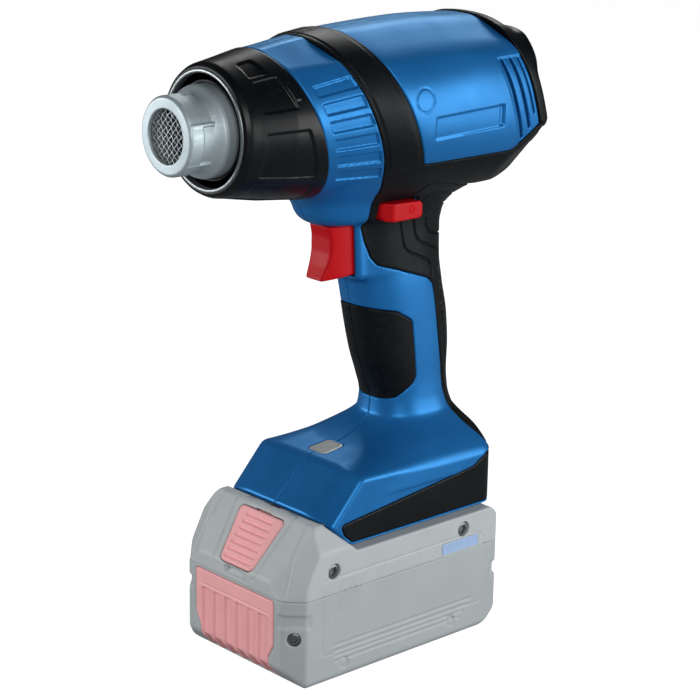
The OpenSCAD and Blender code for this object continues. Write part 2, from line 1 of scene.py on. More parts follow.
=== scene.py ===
# A cordless hot-air gun standing on its battery pack.
# The nozzle points to -x and the rear cap faces +x. The left side is -y, z is up and the pack
# rests on z = 0. Pieces are shaped in millimetres and turned into metres when meshed.
import json
import math
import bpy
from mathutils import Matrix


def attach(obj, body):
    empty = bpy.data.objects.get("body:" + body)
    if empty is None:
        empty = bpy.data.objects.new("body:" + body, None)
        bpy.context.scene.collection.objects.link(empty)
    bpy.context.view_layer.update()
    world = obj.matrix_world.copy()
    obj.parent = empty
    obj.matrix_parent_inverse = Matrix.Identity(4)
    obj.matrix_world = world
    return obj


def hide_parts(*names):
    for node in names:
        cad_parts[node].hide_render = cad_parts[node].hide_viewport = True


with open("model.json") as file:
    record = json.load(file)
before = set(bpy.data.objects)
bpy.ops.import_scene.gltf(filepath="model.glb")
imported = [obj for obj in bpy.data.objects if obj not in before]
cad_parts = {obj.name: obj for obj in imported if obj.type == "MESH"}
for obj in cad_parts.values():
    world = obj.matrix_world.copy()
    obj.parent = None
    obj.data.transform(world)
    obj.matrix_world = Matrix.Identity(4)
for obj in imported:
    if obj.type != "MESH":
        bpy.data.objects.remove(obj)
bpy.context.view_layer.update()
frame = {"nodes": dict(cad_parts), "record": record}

from concurrent.futures import ThreadPoolExecutor

import bmesh
import bpy
import numpy as np
from mathutils import Matrix, Vector

CELL_SCALE = 1.0     # scale on the cell size of every piece
AXIS_Z = 257.8                              # height of the barrel axis


# ---------------------------------------------------------------- shape toolkit
# A shape is a function of x, y, z: below 0 inside, above 0 outside, roughly a distance.
def meet(first, second, radius):
    """Intersection with a rounded edge."""
    return (np.minimum(-radius, np.maximum(first, second))
            + np.hypot(np.maximum(first + radius, 0), np.maximum(second + radius, 0)))


def join(first, second, radius):
    """Union with a filleted corner."""
    return (np.maximum(radius, np.minimum(first, second))
            - np.hypot(np.maximum(radius - first, 0), np.maximum(radius - second, 0)))


def trim(shape, *limits):
    """Intersection with each (limit, edge radius) in turn."""
    for limit, radius in limits:
        shape = meet(shape, limit, radius)
    return shape


def inside(distance, blend):
    """1 well inside a region (distance < -blend), 0 outside it."""
    level = np.clip(0.5 - 0.5 * distance / blend, 0, 1)
    return level * level * (3 - 2 * level)


def slab(value, centre, half):
    return np.abs(value - centre) - half


def box(x, y, z, centre, halves, radius):
    sides = [slab(v, c, half) for v, c, half in zip((x, y, z), centre, halves)]
    return meet(meet(sides[0], sides[1], radius), sides[2], radius)


def superellipse(across, upward, half_across, half_upward, power):
    ratio = (np.abs(across / half_across) ** power
             + np.abs(upward / half_upward) ** power) ** (1 / power)
    reach = np.hypot(across, upward)
    return reach - reach / np.maximum(ratio, 1e-4)


def curve(rows, column=1):
    """Smooth curve without overshoot through one column of a table, over its first."""
    xs = np.array([row[0] for row in rows], float)
    ys = np.array([row[column] for row in rows], float)
    step = np.diff(xs)
    rate = np.diff(ys) / step
    slope = np.zeros(len(xs))
    for i in range(1, len(xs) - 1):
        if rate[i - 1] * rate[i] > 0:
            before, after = 2 * step[i] + step[i - 1], step[i] + 2 * step[i - 1]
            slope[i] = (before + after) / (before / rate[i - 1] + after / rate[i])
    slope[0], slope[-1] = rate[0], rate[-1]
    fine_x = np.linspace(xs[0], xs[-1], 500)
    k = np.clip(np.searchsorted(xs, fine_x, side="right") - 1, 0, len(xs) - 2)
    t = (fine_x - xs[k]) / step[k]
    fine_y = (ys[k] * (1 + 2 * t) * (1 - t) ** 2 + slope[k] * step[k] * t * (1 - t) ** 2
              + ys[k + 1] * t * t * (3 - 2 * t) + slope[k + 1] * step[k] * t * t * (t - 1))
    return lambda value: np.interp(value, fine_x, fine_y)


class Grid:
    """A function of two coordinates kept on a fine grid."""

    def __init__(self, x0, x1, z0, z1, step, function):
        self.x0, self.z0, self.step = x0, z0, step
        xs = np.arange(x0, x1 + step, step)
        zs = np.arange(z0, z1 + step, step)
        self.columns, self.rows = len(xs), len(zs)
        values = function(xs[:, None], zs[None, :])
        self.values = np.ascontiguousarray(values, float).ravel()

    def __call__(self, x, z):
        column = np.clip((x - self.x0) / self.step, 0, self.columns - 1.001)
        row = np.clip((z - self.z0) / self.step, 0, self.rows - 1.001)
        i, j = column.astype(np.int32), row.astype(np.int32)
        part_x, part_z = column - i, row - j
        k = i * self.rows + j
        values, rows = self.values, self.rows
        return ((values[k] * (1 - part_x) + values[k + rows] * part_x) * (1 - part_z)
                + (values[k + 1] * (1 - part_x) + values[k + rows + 1] * part_x) * part_z)


def line_distance(points):
    """Distance to an open line of points."""
    points = np.array(points, float)

    def distance(x, z):
        x, z = np.broadcast_arrays(x, z)
        best = np.full(x.shape, 1e9)
        for start, end in zip(points[:-1], points[1:]):
            run = end - start
            t = np.clip(((x - start[0]) * run[0] + (z - start[1]) * run[1])
                        / max(run @ run, 1e-12), 0, 1)
            best = np.minimum(best, (x - start[0] - t * run[0]) ** 2
                              + (z - start[1] - t * run[1]) ** 2)
        return np.sqrt(best)
    return distance


def polygon_distance(points):
    """Distance to a closed outline, negative inside it."""
    loop = np.array([points[-1], *points], float)

    def distance(x, z):
        x, z = np.broadcast_arrays(x, z)
        within = np.zeros(x.shape, bool)
        for start, end in zip(loop[:-1], loop[1:]):
            if start[1] != end[1]:
                crossing = (end[0] - start[0]) * (z - start[1]) / (end[1] - start[1]) + start[0]
                within ^= ((start[1] > z) != (end[1] > z)) & (x < crossing)
        return line_distance(loop)(x, z) * np.where(within, -1.0, 1.0)
    return distance


def rounded(points, radii, closed=True):
    """Corners of a line of points turned into curves of five steps."""
    points = [np.array(point, float) for point in points]
    count = len(points)
    if not isinstance(radii, list):
        radii = [radii] * count
    out = []
    for i, corner in enumerate(points):
        if not closed and i in (0, count - 1):
            out.append(corner)
            continue
        back, ahead = points[i - 1] - corner, points[(i + 1) % count] - corner
        back_length, ahead_length = np.hypot(*back), np.hypot(*ahead)
        back, ahead = back / back_length, ahead / ahead_length
        half_angle = math.acos(np.clip(back @ ahead, -1, 1)) / 2
        if half_angle > 1.5 or radii[i] <= 0:
            out.append(corner)
            continue
        reach = min(radii[i] / math.tan(half_angle), 0.48 * back_length, 0.48 * ahead_length)
        start, end = corner + back * reach, corner + ahead * reach
        for k in range(6):
            t = k / 5
            out.append((1 - t) ** 2 * start + 2 * t * (1 - t) * corner + t * t * end)
    return out


def region(points, radii):
    """Rounded outline in the x-z plane."""
    return Grid(-120, 125, 50, 312, 0.5, polygon_distance(rounded(points, radii)))


# ---------------------------------------------------------------- the tool's outer form
# Barrel stations: x on the axis, rake, half width, height above the axis, depth below, power
BARREL = [
    (-110, .36, 32.6, 32.2, 35.6, 2.0), (-75, .36, 32.6, 32.2, 35.6, 2.0),
    (-45.5, .37, 34.5, 34.1, 37, 2.05), (-25, .40, 37, 36.4, 38.4, 2.15),
    (11, .42, 42, 39.6, 42.5, 2.2), (50, .38, 42, 40.9, 42.5, 2.35),
    (83, .33, 40, 39.3, 41.2, 2.45), (92, .33, 39.0, 38.4, 40.2, 2.5),
    (125, .33, 37.5, 37, 39, 2.5)]
barrel_rake, barrel_width, barrel_top, barrel_bottom, barrel_power = (
    curve(BARREL, column) for column in range(1, 6))


def raked_station(x, rise):
    x, rise = np.broadcast_arrays(x, rise)
    stations = np.linspace(-110, 125, 1200)
    out = np.empty(x.shape)
    for j in range(x.shape[1]):
        out[:, j] = np.interp(x[:, j], stations - barrel_rake(stations) * rise[0, j], stations)
    return out


# the raked station a point lies on, from x and the height above the axis
station = Grid(-115, 120, -56, 56, 1.0, raked_station)


def barrel(x, y, z):
    rise = z - AXIS_Z
    along = station(x, rise)
    half_height = np.where(rise > 0, barrel_top(along), barrel_bottom(along))
    shape = superellipse(y, rise, barrel_width(along), half_height, barrel_power(along))
    # raked rear face with the raised intake field on its upper part, and the cut lower corners
    wide = np.abs(y)
    rear = (x + 0.33 * rise - 90.3) * 0.95
    field = meet(meet(x - 87.2, rise - 33.0, 3.5), wide - 37.5, 3.0)
    shape = meet(shape, join(rear, field, 1.5), 2.6)
    cut = 0.3745 * x + 0.6698 * wide - 0.6415 * rise - 66.9
    return meet(shape, np.where(x > 40, cut, -20.0), 1.3)


# Grip: z, front x, rear x, half width, power
GRIP = [
    (84, -18, 70, 31.5, 3.6), (90, -12, 70, 30.5, 3.6), (97, 0, 69.5, 26.5, 3.0),
    (104, 12, 66, 21.6, 2.7), (110, 16.5, 63.3, 19, 2.5), (118, 16.9, 61.2, 17.8, 2.4),
    (126, 14.4, 60.6, 17.5, 2.4), (140, 9.1, 61.4, 17.5, 2.4), (154, 5.4, 60.4, 17.5, 2.4),
    (172, 1.6, 56.5, 17.5, 2.4), (185, -1.4, 54.4, 17.2, 2.45), (200, -2.6, 53.9, 17.2, 2.5),
    (206.5, -4, 55.4, 17.5, 2.5), (213, -7, 60, 18.6, 2.5), (226, -10, 72, 21, 2.5),
    (244, -14, 84, 24, 2.5)]
# Neck under the barrel: z, front x, rear x, half width
NECK = [
    (204, -21, 50, 17.0), (207.5, -23, 53, 18.0), (213, -27.0, 61, 19.6),
    (217, -28.6, 67.5, 21), (226, -31.5, 73, 26), (240, -38, 80, 30), (250, -42, 84, 32)]
grip_curves = [curve(GRIP, column) for column in (1, 2, 3, 4)]
neck_curves = [curve(NECK, column) for column in (1, 2, 3)]


def upright(x, y, front, rear, half_width, power):
    """Superellipse section seen from above."""
    return superellipse(x - (front + rear) / 2, y, (rear - front) / 2, half_width, power)


def grip(x, y, z):
    return upright(x, y, *(at(z) for at in grip_curves))


def neck(x, y, z):
    section = upright(x, y, *(at(z) for at in neck_curves), 2.6)
    return meet(section, 207.0 - z + 0.03 * (x + 10), 4.5)


def trigger_surround(x, y, z):
    """Squarer front of the grip round the trigger."""
    plan = meet(meet(-4.4 - x - 0.05 * (z - 193), x - 20, 2.5),
                np.abs(y) - 12.3 - 0.10 * (x + 4), 3.0)
    return meet(plan, meet(z - 211, 179.2 - z, 2.5), 3.0)


def foot(x, y, z):
    wide = np.abs(y)
    crown = np.minimum(96.4 + 0.11 * (x + 22), 101.2)
    shoulder = np.maximum(wide - 19, 0) ** 2 / 302.8 * (crown - 93.4 + 0.05 * (x + 20))
    top = (z - crown + shoulder) * 0.97
    corner = -.663 * (x + 37) + .433 * (wide - 34.6) + .610 * (z - 76)
    front = -.694 * (x + 43) + .719 * (z - 77)
    lower_front = -.672 * (x + 42.3) - .741 * (z - 76)
    return trim(top, (wide - 36.4, 2.0), (corner, 1.6), (front, 1.8), (x - 67.5, 8),
                (lower_front, 1.8), (62.4 - z, 0.9))


def only_where(mask, shape, x, y, z):
    """The shape where the mask holds, a far distance elsewhere."""
    out = np.full(x.shape, 40.0)
    if mask.any():
        out[mask] = shape(x[mask], y[mask], z[mask])
    return out


def body(x, y, z):
    """The whole outer form: barrel, grip and foot, filleted together."""
    point = (x, y, z)
    upper = only_where(z > 196, barrel, *point)
    handle = only_where((z > 82) & (z < 246), grip, *point)
    handle = join(handle, only_where((z > 200) & (z < 252), neck, *point), 2.5)
    surround = only_where((z > 170) & (z < 216) & (x < 30), trigger_surround, *point)
    handle = join(handle, surround, 3.0)
    return join(join(handle, only_where(z < 122, foot, *point), 9.0), upper, 6.0)


# ---------------------------------------------------------------- surfaces from shapes
POOL = ThreadPoolExecutor(4)
CHUNK = 120000      # points given to a thread at once
BLOCK = 8           # cells along a block's edge
BATCH = 1600        # blocks sampled at once
CORNERS = np.array([[i, j, k] for i in (0, 1) for j in (0, 1) for k in (0, 1)])
CELL_EDGES = [(a, b) for a in range(8) for b in range(a + 1, 8)
              if np.abs(CORNERS[a] - CORNERS[b]).sum() == 1]


def evaluate(shape, points):
    """The shape at many points, in parallel."""
    parts = [points[i:i + CHUNK] for i in range(0, len(points), CHUNK)]
    return np.concatenate(list(POOL.map(lambda p: shape(p[:, 0], p[:, 1], p[:, 2]), parts)))


def gradient(shape, points, step):
    out = np.empty_like(points)
    for axis in range(3):
        ahead, behind = points.copy(), points.copy()
        ahead[:, axis] += step
        behind[:, axis] -= step
        out[:, axis] = (evaluate(shape, ahead) - evaluate(shape, behind)) / (2 * step)
    return out


def project(shape, points, cell):
    """One step of the points towards the surface, at most half a cell long."""
    slope = gradient(shape, points, 0.25 * cell)
    value = evaluate(shape, points)
    move = -(value / np.maximum((slope * slope).sum(1), 0.15))[:, None] * slope
    length = np.linalg.norm(move, axis=1)
    return points + move * np.minimum(1, 0.5 * cell / np.maximum(length, 1e-9))[:, None]


def lattice(counts):
    axes = np.meshgrid(*[np.arange(count) for count in counts], indexing="ij")
    return np.stack(axes, -1).reshape(-1, 3)


def crossed_cells(shape, low, blocks, strides, cell):
    """Sorted ids of the cells the surface crosses, a point in each, and corner signs."""
    local = lattice([BLOCK + 1] * 3)
    all_ids, all_points, all_signs = [], [], []
    for first in range(0, len(blocks), BATCH):
        base = blocks[first:first + BATCH] * BLOCK
        samples = low + (base[:, None, :] + local[None]) * cell
        values = evaluate(shape, samples.reshape(-1, 3))
        values = values.reshape(-1, BLOCK + 1, BLOCK + 1, BLOCK + 1)
        negative = (values < 0).astype(np.int8)
        total = sum(negative[:, a:a + BLOCK, b:b + BLOCK, c:c + BLOCK] for a, b, c in CORNERS)
        block, i, j, k = np.nonzero((total > 0) & (total < 8))
        corners = np.stack([values[block, i + a, j + b, k + c] for a, b, c in CORNERS], 1)
        index = base[block] + np.stack([i, j, k], 1)
        # the point is the mean of the crossings on the cell's edges
        crossings = np.zeros((len(block), 3))
        count = np.zeros(len(block))
        for a, b in CELL_EDGES:
            start, end = corners[:, a], corners[:, b]
            cross = (start < 0) != (end < 0)
            t = np.where(cross, start / np.where(cross, start - end, 1), 0)
            crossings += cross[:, None] * (CORNERS[a] + (CORNERS[b] - CORNERS[a]) * t[:, None])
            count += cross
        all_points.append(low + (index + crossings / count[:, None]) * cell)
        all_ids.append(index @ strides)
        all_signs.append(corners[:, [0, 4, 2, 1]] < 0)
    ids = np.concatenate(all_ids)
    order = np.argsort(ids, kind="stable")
    return ids[order], np.concatenate(all_points)[order], np.concatenate(all_signs)[order]


def link_quads(ids, signs, strides):
    """A quad round every cell edge that the surface crosses."""
    quads = []
    for axis in range(3):
        side, other = strides[(axis + 1) % 3], strides[(axis + 2) % 3]
        crossed = np.nonzero(signs[:, 0] != signs[:, axis + 1])[0]
        own = ids[crossed]
        keys = np.stack([own, own - side, own - side - other, own - other], 1)
        index = np.minimum(np.searchsorted(ids, keys), len(ids) - 1)
        found = (ids[index] == keys).all(1)
        index, within = index[found], signs[crossed[found], 0]
        index[~within] = index[~within][:, ::-1]
        quads.append(index)
    return np.concatenate(quads)


def surface(shape, low, high, cell):
    """Closed quad mesh of the surface shape = 0 inside a box."""
    low = np.array(low, float) - 1.37 * cell
    counts = np.ceil((np.array(high, float) + cell - low) / (cell * BLOCK)).astype(int)
    blocks = lattice(counts)
    centres = low + (blocks + 0.5) * BLOCK * cell
    blocks = blocks[np.abs(evaluate(shape, centres)) < 0.87 * BLOCK * cell * 1.35 + 1.5]
    size = counts * BLOCK + 2
    strides = np.array([size[1] * size[2], size[2], 1])
    ids, points, signs = crossed_cells(shape, low, blocks, strides, cell)
    quads = link_quads(ids, signs, strides)
    # even out the quads, pulling the points back to the surface each time
    points = project(shape, points, cell)
    flat, count = quads.ravel(), len(points)
    uses = np.maximum(np.bincount(flat, minlength=count).astype(float), 1)[:, None]
    for _ in range(2):
        middle = points[quads].mean(1)
        total = np.stack([np.bincount(flat, np.repeat(middle[:, axis], 4), minlength=count)
                          for axis in range(3)], 1)
        points = points + 0.5 * (total / uses - points)
        points = project(shape, points, cell)
    return project(shape, points, cell), quads


def make_mesh(name, points, faces, material, smooth=True):
    """Object from points in millimetres."""
    points = np.asarray(points, np.float64) * 0.001
    faces = np.asarray(faces, np.int32)
    mesh = bpy.data.meshes.new(name)
    mesh.vertices.add(len(points))
    mesh.vertices.foreach_set("co", points.astype(np.float32).ravel())
    mesh.loops.add(faces.size)
    mesh.loops.foreach_set("vertex_index", faces.ravel())
    mesh.polygons.add(len(faces))
    starts = np.arange(0, faces.size, faces.shape[1], dtype=np.int32)
    mesh.polygons.foreach_set("loop_start", starts)
    mesh.polygons.foreach_set("use_smooth", np.full(len(faces), smooth))
    mesh.update(calc_edges=True)
    mesh.validate()
    obj = bpy.data.objects.new(name, mesh)
    bpy.context.scene.collection.objects.link(obj)
    mesh.materials.append(material)
    return obj


def place(obj, body_name, node):
    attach(obj, body_name)
    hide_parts(node)


# ---------------------------------------------------------------- outlines seen from the side
# corner points (x, z), with one radius for each corner or one for all
band_outline = region(
    [(-35.8, 302), (-3.2, 226), (-2.6, 216), (-2.2, 205), (0, 198), (3.4, 190), (7, 186),
     (17, 183), (37, 176), (41, 172.5), (43, 164), (44.5, 153), (47.6, 134), (49.4, 120),
     (52, 112), (58, 100.5), (65, 92), (69, 88.6), (100, 88.6), (112, 200), (112, 232),
     (88, 248), (82, 244.2), (74, 239.4), (68.8, 236.5), (13.5, 236.5), (-17, 302)],
    [0, 14, 8, 10, 12, 8, 4, 6, 3, 3, 12, 12, 12, 12, 12, 12, 8, 2, 0, 0, 0, 3, 8, 8, 6, 2.2, 0])
grip_outline = region(
    [(-12, 168), (4, 165.2), (18.5, 162.3), (27.5, 156.7), (29.3, 143.6), (31.1, 128.3),
     (29.8, 125.2), (22, 118.4), (18, 117.2), (12, 118), (0, 121), (-12, 121)], 3.0)
foot_outline = region(
    [(-33.5, 73.4), (52, 83.2), (57, 85.8), (62, 88.4), (100, 88.4), (100, 63.6),
     (-26, 63.6), (-31, 68)], [3, 3, 3, 3, 0, 0, 1.5, 2])

# nested grooves in the soft band: open lines (x, z), then their corner radius
BAND_GROOVES = [
    ([(78, 214.5), (58, 218.5), (31, 224.8), (24.5, 224.6), (20.4, 219.8), (18.2, 212),
      (17.9, 205.7), (21.2, 192.5), (25, 189.6), (37, 184.6), (39.4, 181.8), (41.8, 168),
      (44.6, 150), (49.5, 128), (52.5, 114)], 5.5),
    ([(80, 208.5), (62, 212.0), (37, 218.6), (31, 217.8), (27.6, 212.6), (26.4, 205.5),
      (28.6, 196.2), (33, 193.2), (44, 189.6), (46.6, 186.4), (47.6, 176), (49.0, 160),
      (52.4, 136), (55.6, 118)], 5.0),
    ([(80, 202.8), (62, 207.2), (42, 211.8), (37.4, 210.6), (35.0, 206.0), (35.2, 201.2),
      (37.6, 198.0), (44, 196.4), (52, 194.6), (60, 192)], 4.0)]
groove_lines = [line_distance(rounded(points, radius, False)) for points, radius in BAND_GROOVES]
groove_distance = Grid(-10, 110, 90, 240, 0.4, lambda x, z: np.minimum.reduce(
    [distance(x, z) for distance in groove_lines]))


# ---------------------------------------------------------------- housing and its soft skins
SIDE_HOLES = [(-20.6, 214.9, 9), (52, 213.5, 10.5), (48, 176, 8.6), (52, 120, 10),
              (30, 99, 16)]                     # x, z and the y each hole starts from
SIDE_HOLE_RADIUS = 3.1
VENT_TOP = 279.2
VENT_SLOTS = [(69.2, 241.8, 1.0), (75.4, 246.2, 1.0), (80.4, 252.6, 0.55)]
# ... station, lower end, half width
RECESS_PITCH, TOP_RECESS = 13.45, 29.2          # collar recesses, degrees round the barrel
PLATE_X = 38


def collar_detail(x, y, z, skin):
    """Flats, six narrow recesses a side, plate recess, vent panel and a ring groove."""
    rise = z - AXIS_Z
    along = station(x, rise)
    half_width = barrel_width(along)
    across, upward = np.abs(y) / half_width, rise / barrel_top(along)
    # crisp flats on the collar, soft ones on the rear housing: angle and half angle in degrees
    collar, rear = along < 1, along > 1
    for centre, half, where, radius in ((67.0, 14.6, collar, 0.5), (90.0, 8.4, collar, 0.5),
                                        (90.0, 6.0, rear, 2.0), (62.0, 9.0, rear, 2.0)):
        angle, reach = math.radians(centre), math.cos(math.radians(half))
        flat = (across * math.cos(angle) + upward * math.sin(angle) - reach) * half_width
        skin = np.where(where, meet(skin, flat, radius), skin)
    # narrow collar recesses, slightly twisted
    turn = np.degrees(np.arctan2(rise, np.abs(y))) - 0.105 * (along + 40.3)
    k = np.clip(np.round((TOP_RECESS - turn) / RECESS_PITCH), 0, 5)
    recess = meet(np.abs(turn - (TOP_RECESS - RECESS_PITCH * k)) * 0.64 - 2.55,
                  slab(along, -29.2, 11.2), 0.5)
    skin = skin + 0.95 * inside(recess, 0.4)
    # plate recess with a deeper end pocket
    plate_rise = z - (253.9 + 0.031 * (x - PLATE_X))
    plate = meet(slab(x, PLATE_X, 22.2), slab(plate_rise, 0, 5.1), 0.8)
    skin = skin + 0.5 * inside(plate, 0.4)
    pocket = meet(slab(x, 58.5, 1.1), slab(plate_rise, 0, 4.6), 0.8)
    skin = skin + 0.8 * inside(pocket, 0.4)
    # shallow panel that carries the vent slots
    panel = meet(meet(66.2 - along, along - 90, 0.5), meet(z - 280.3, 238.5 - z, 0.5), 0.8)
    skin = skin + 0.55 * inside(panel, 0.45)
    # ring groove above the front of the plate
    ring = np.hypot(x - 9.4, z - 266.6) - 5.4
    return skin + 0.35 * inside(np.abs(ring) - 0.35, 0.3)


def vent_slots(x, z, form):
    along = station(x, z - AXIS_Z)
    slots = [meet(slab(along, centre, half), slab(z, (VENT_TOP + low) / 2, (VENT_TOP - low) / 2),
                  0.5) for centre, low, half in VENT_SLOTS]
    return np.maximum(np.minimum.reduce(slots), -(form + 5.0))


def trigger_gap(x, y, z):
    return meet(slab(y, 0, 9.9), meet(x - 7.2, slab(z, 194.05, 12.75), 3.0), 1.0)


def lock_gap(x, z):
    return meet(slab(x, 13.98, 11.8), slab(z, 212.68, 4.9), 1.6)


def lens_gap(x, y):
    """Rounded, slightly tapered square seen from above."""
    return meet(slab(x, -10.7, 6.9), np.abs(y) - 6.3 + 0.05 * (x + 10.7), 2.6)


def pack_channel(x, y, z):
    """Stepped channel under the foot that takes the pack's rail."""
    wide = np.abs(y)
    throat = meet(wide - 28.8, z - 69.6, 0.3)
    undercut = meet(wide - 31.7, slab(z, 71.5, 3.0), 0.3)
    return np.maximum(np.minimum(throat, undercut), x - 52.5)


def housing_half(side):
    """Shell of one side: -1 left, 1 right."""
    def shape(x, y, z):
        form = body(x, y, z)
        skin = form.copy()
        near = (z > 214) & (np.abs(form) < 12)
        if near.any():
            skin[near] = collar_detail(x[near], y[near], z[near], form[near])
        # the skin is set back where the soft pieces lie
        soft = np.minimum(np.minimum(band_outline(x, z), grip_outline(x, z)), foot_outline(x, z))
        out = np.minimum(meet(skin, 0.10 - soft, 0.45), form + 2.45)
        out = np.maximum(out, -(form + 4.3))
        along = station(x, z - AXIS_Z)
        out = trim(out, (np.where(z > 205, (-45.6 - along) * 0.93, -20.0), 0.7),
                   (np.where(z > 214, (along - 83.0) * 0.93, -20.0), 0.45))
        out = np.where((z > 232) & (x > 50) & (x < 95),
                       meet(out, -vent_slots(x, z, form), 0.35), out)
        out = np.where((z > 175) & (z < 225) & (x < 34),
                       trim(out, (-trigger_gap(x, y, z), 0.9), (-lock_gap(x, z), 0.5)), out)
        out = np.where((z > 84) & (z < 112) & (x < 8),
                       meet(out, -np.maximum(lens_gap(x, y), 88 - z), 0.35), out)
        out = np.where(z < 80, meet(out, -pack_channel(x, y, z), 0.5), out)
        if side > 0:
            holes = [np.maximum(np.hypot(x - hole_x, z - hole_z) - SIDE_HOLE_RADIUS, start - y)
                     for hole_x, hole_z, start in SIDE_HOLES]
            out = meet(out, -np.minimum.reduce(holes), 0.4)
        return meet(out, 0.05 - side * y, 0.22)
    return shape


def soft_skin(side, outline, gap=0.12, proud=0.0, edge=0.55, band=False, on_foot=False):
    """Skin inside an outline; the band is grooved and cleared round the trigger and lock."""
    def shape(x, y, z):
        form = body(x, y, z)
        border = outline(x, z)
        skin = form
        if band:
            skin = skin + 0.75 * inside(groove_distance(x, z) - 0.42, 0.22)
            skin = skin - 0.35 * inside(border + 2.6, 0.5) * (z > 236)
        out = meet(skin - proud, border + gap, edge)
        out = np.maximum(out, -(form + 2.35))
        if band:
            out = trim(out, (-lock_gap(x, z), 0.5), (-trigger_gap(x, y, z), 0.5))
        if on_foot:
            out = np.maximum(out, -pack_channel(x, y, z) - 0.15)
        return meet(out, 0.05 - side * y, 0.22)
    return shape


# ---------------------------------------------------------------- rear cap and intake
def rear_cap(x, y, z):
    form = body(x, y, z)
    rise = z - AXIS_Z
    # stands a little proud of the housing
    out = trim(form - 0.35, ((83.2 - station(x, rise)) * 0.93, 0.55),
               (0.12 - band_outline(x, z), 0.4))
    out = np.maximum(out, -(form + 3.0))
    # nine level slots, shorter away from the middle one
    slots = np.minimum.reduce([meet(slab(y, 0, 25 - abs(i) * 1.6),
                                    slab(rise, -5.0 + i * 6.4, 1.5), 0.9) for i in range(-4, 5)])
    slots = np.maximum(np.maximum(slots, 76.0 - x), -(form + 8.0))
    out = meet(out, -slots, 0.5)
    # fine groove round the slots
    rim = np.abs(meet(slab(y, 0, 29.5), slab(rise, -5.0, 31.0), 6.0)) - 0.5
    return out + 0.5 * inside(rim, 0.5) * (x > 80) * (np.abs(form) < 2.5)


def intake_screen(x, y, z):
    """Fine screen behind the slots, raked like the end face."""
    pitch = 3.2
    rise = z - AXIS_Z
    depth = (x + 0.33 * rise - 82.4) * 0.95
    upward = rise + 5
    out = np.maximum(np.abs(depth) - 0.45, meet(slab(y, 0, 27), slab(upward, 0, 29), 4))
    hole = meet(slab(y, pitch * np.round(y / pitch), 1.1),
                slab(upward, pitch * np.round(upward / pitch), 1.1), 0.4)
    return np.maximum(np.maximum(out, -hole), body(x, y, z) + 3.3)


# ---------------------------------------------------------------- front cover, ring and nozzle
def turned(profile, radii, step=0.15):
    """A profile of (x, radius) points turned round the barrel axis."""
    points = rounded(profile, radii)
    corners = np.array(points)
    x0, low = corners.min(0) - 5
    x1, high = corners.max(0) + 5
    grid = Grid(x0, x1, low, high, step, polygon_distance(points))
    return lambda x, y, z: (grid(x, np.hypot(y, z - AXIS_Z))
                            + np.maximum(0, np.maximum(x0 - x, x - x1)))


def angle_round(y, rise):
    """Degrees round the axis: 0 at the left, 90 at the top."""
    return np.degrees(np.arctan2(rise, -y)) % 360


def turn_from(angle, centre):
    return np.abs((angle - centre + 180) % 360 - 180)


# points (x, radius) of the cover's outside that its profile and its radius curve share
COVER_OUTSIDE = [(-81.4, 29.8), (-77, 30.5), (-58.9, 33.8), (-46, 35.3), (-34.5, 36.7)]
cover_form = turned(
    [(-84.2, 27.3), (-83.7, 28.6), *COVER_OUTSIDE, (-24, 37.2), (-24, 34.2), (-46, 32.2),
     (-58.9, 30.7), (-77, 27.6), (-83, 26.7), (-84.2, 26.8)],
    [0.2, 0.8, 3, 6, 0, 0, 0, 0, 0, 0, 0, 0, 0.2, 0.1])
cover_radius = curve([(-90, 26), (-84.2, 27.4), *COVER_OUTSIDE, (-20, 37.4)])
# recessed faces, mirrored left and right: angle, half angle, length kept clear at the rear
COVER_FACES = [(62, 9.5, 9.0), (34, 14.0, 7.0), (-16, 19.5, 6.0), (-62, 18.5, 6.0)]


def front_cover(x, y, z):
    rise = z - AXIS_Z
    angle = angle_round(y, rise)
    radius = cover_radius(x)
    rear = (x + 0.37 * rise + 45.9) * 0.938
    radian = math.pi / 180
    faces = []
    for face, half, clear in COVER_FACES:
        for centre in (face, 180 - face):
            window = meet((turn_from(angle, centre) - half) * radian * radius, rear + clear, 0.8)
            faces.append(meet(window, -(x + 74.5), 1.2))
    out = cover_form(x, y, z) + 0.7 * inside(np.minimum.reduce(faces), 0.5)
    # small pad near the rear edge, each side
    turn = np.minimum(turn_from(angle, 33), turn_from(angle, 147))
    pad = meet(turn * radian * radius - 4.2, slab(rear, -5.0, 1.5), 0.4)
    return meet(out - 0.35 * inside(pad, 0.25), rear, 0.5)


cover_ring = turned([(-84.75, 25.3), (-84.75, 27.0), (-81.2, 27.1), (-81.2, 25.2)],
                    [0.5, 0.5, 0.2, 0.2], step=0.08)
nozzle_form = turned(
    [(-105.1, 12.1), (-105.1, 16.6), (-104.0, 17.7), (-98.0, 17.75), (-97.4, 17.05),
     (-91.8, 16.95), (-90.2, 18.3), (-88.2, 20.2), (-86.6, 20.7), (-76, 20.7), (-76, 19.2),
     (-87.5, 19.2), (-91, 15.3), (-103.3, 14.9), (-103.3, 12.1)],
    [0.25, 1.1, 1.3, 0.4, 0.5, 1.6, 1.2, 0.8, 1.0, 0.2, 0.2, 0.3, 0.5, 0.2, 0.2], step=0.08)
NOZZLE_RIBS = (22, -40, 158, 220, 90)       # degrees round the axis


def nozzle(x, y, z):
    rise = z - AXIS_Z
    radius = np.hypot(y, rise)
    angle = angle_round(y, rise)
    beyond = np.maximum(0, np.maximum(x + 92.0, -103.2 - x))
    rib = np.minimum.reduce([
        np.hypot(turn_from(angle, centre) * math.pi / 180 * 17.2, beyond) - 0.75
        for centre in NOZZLE_RIBS])
    rib = np.maximum(meet(rib, radius - 17.95, 0.5), 15.8 - radius)
    return join(nozzle_form(x, y, z), rib, 0.5)


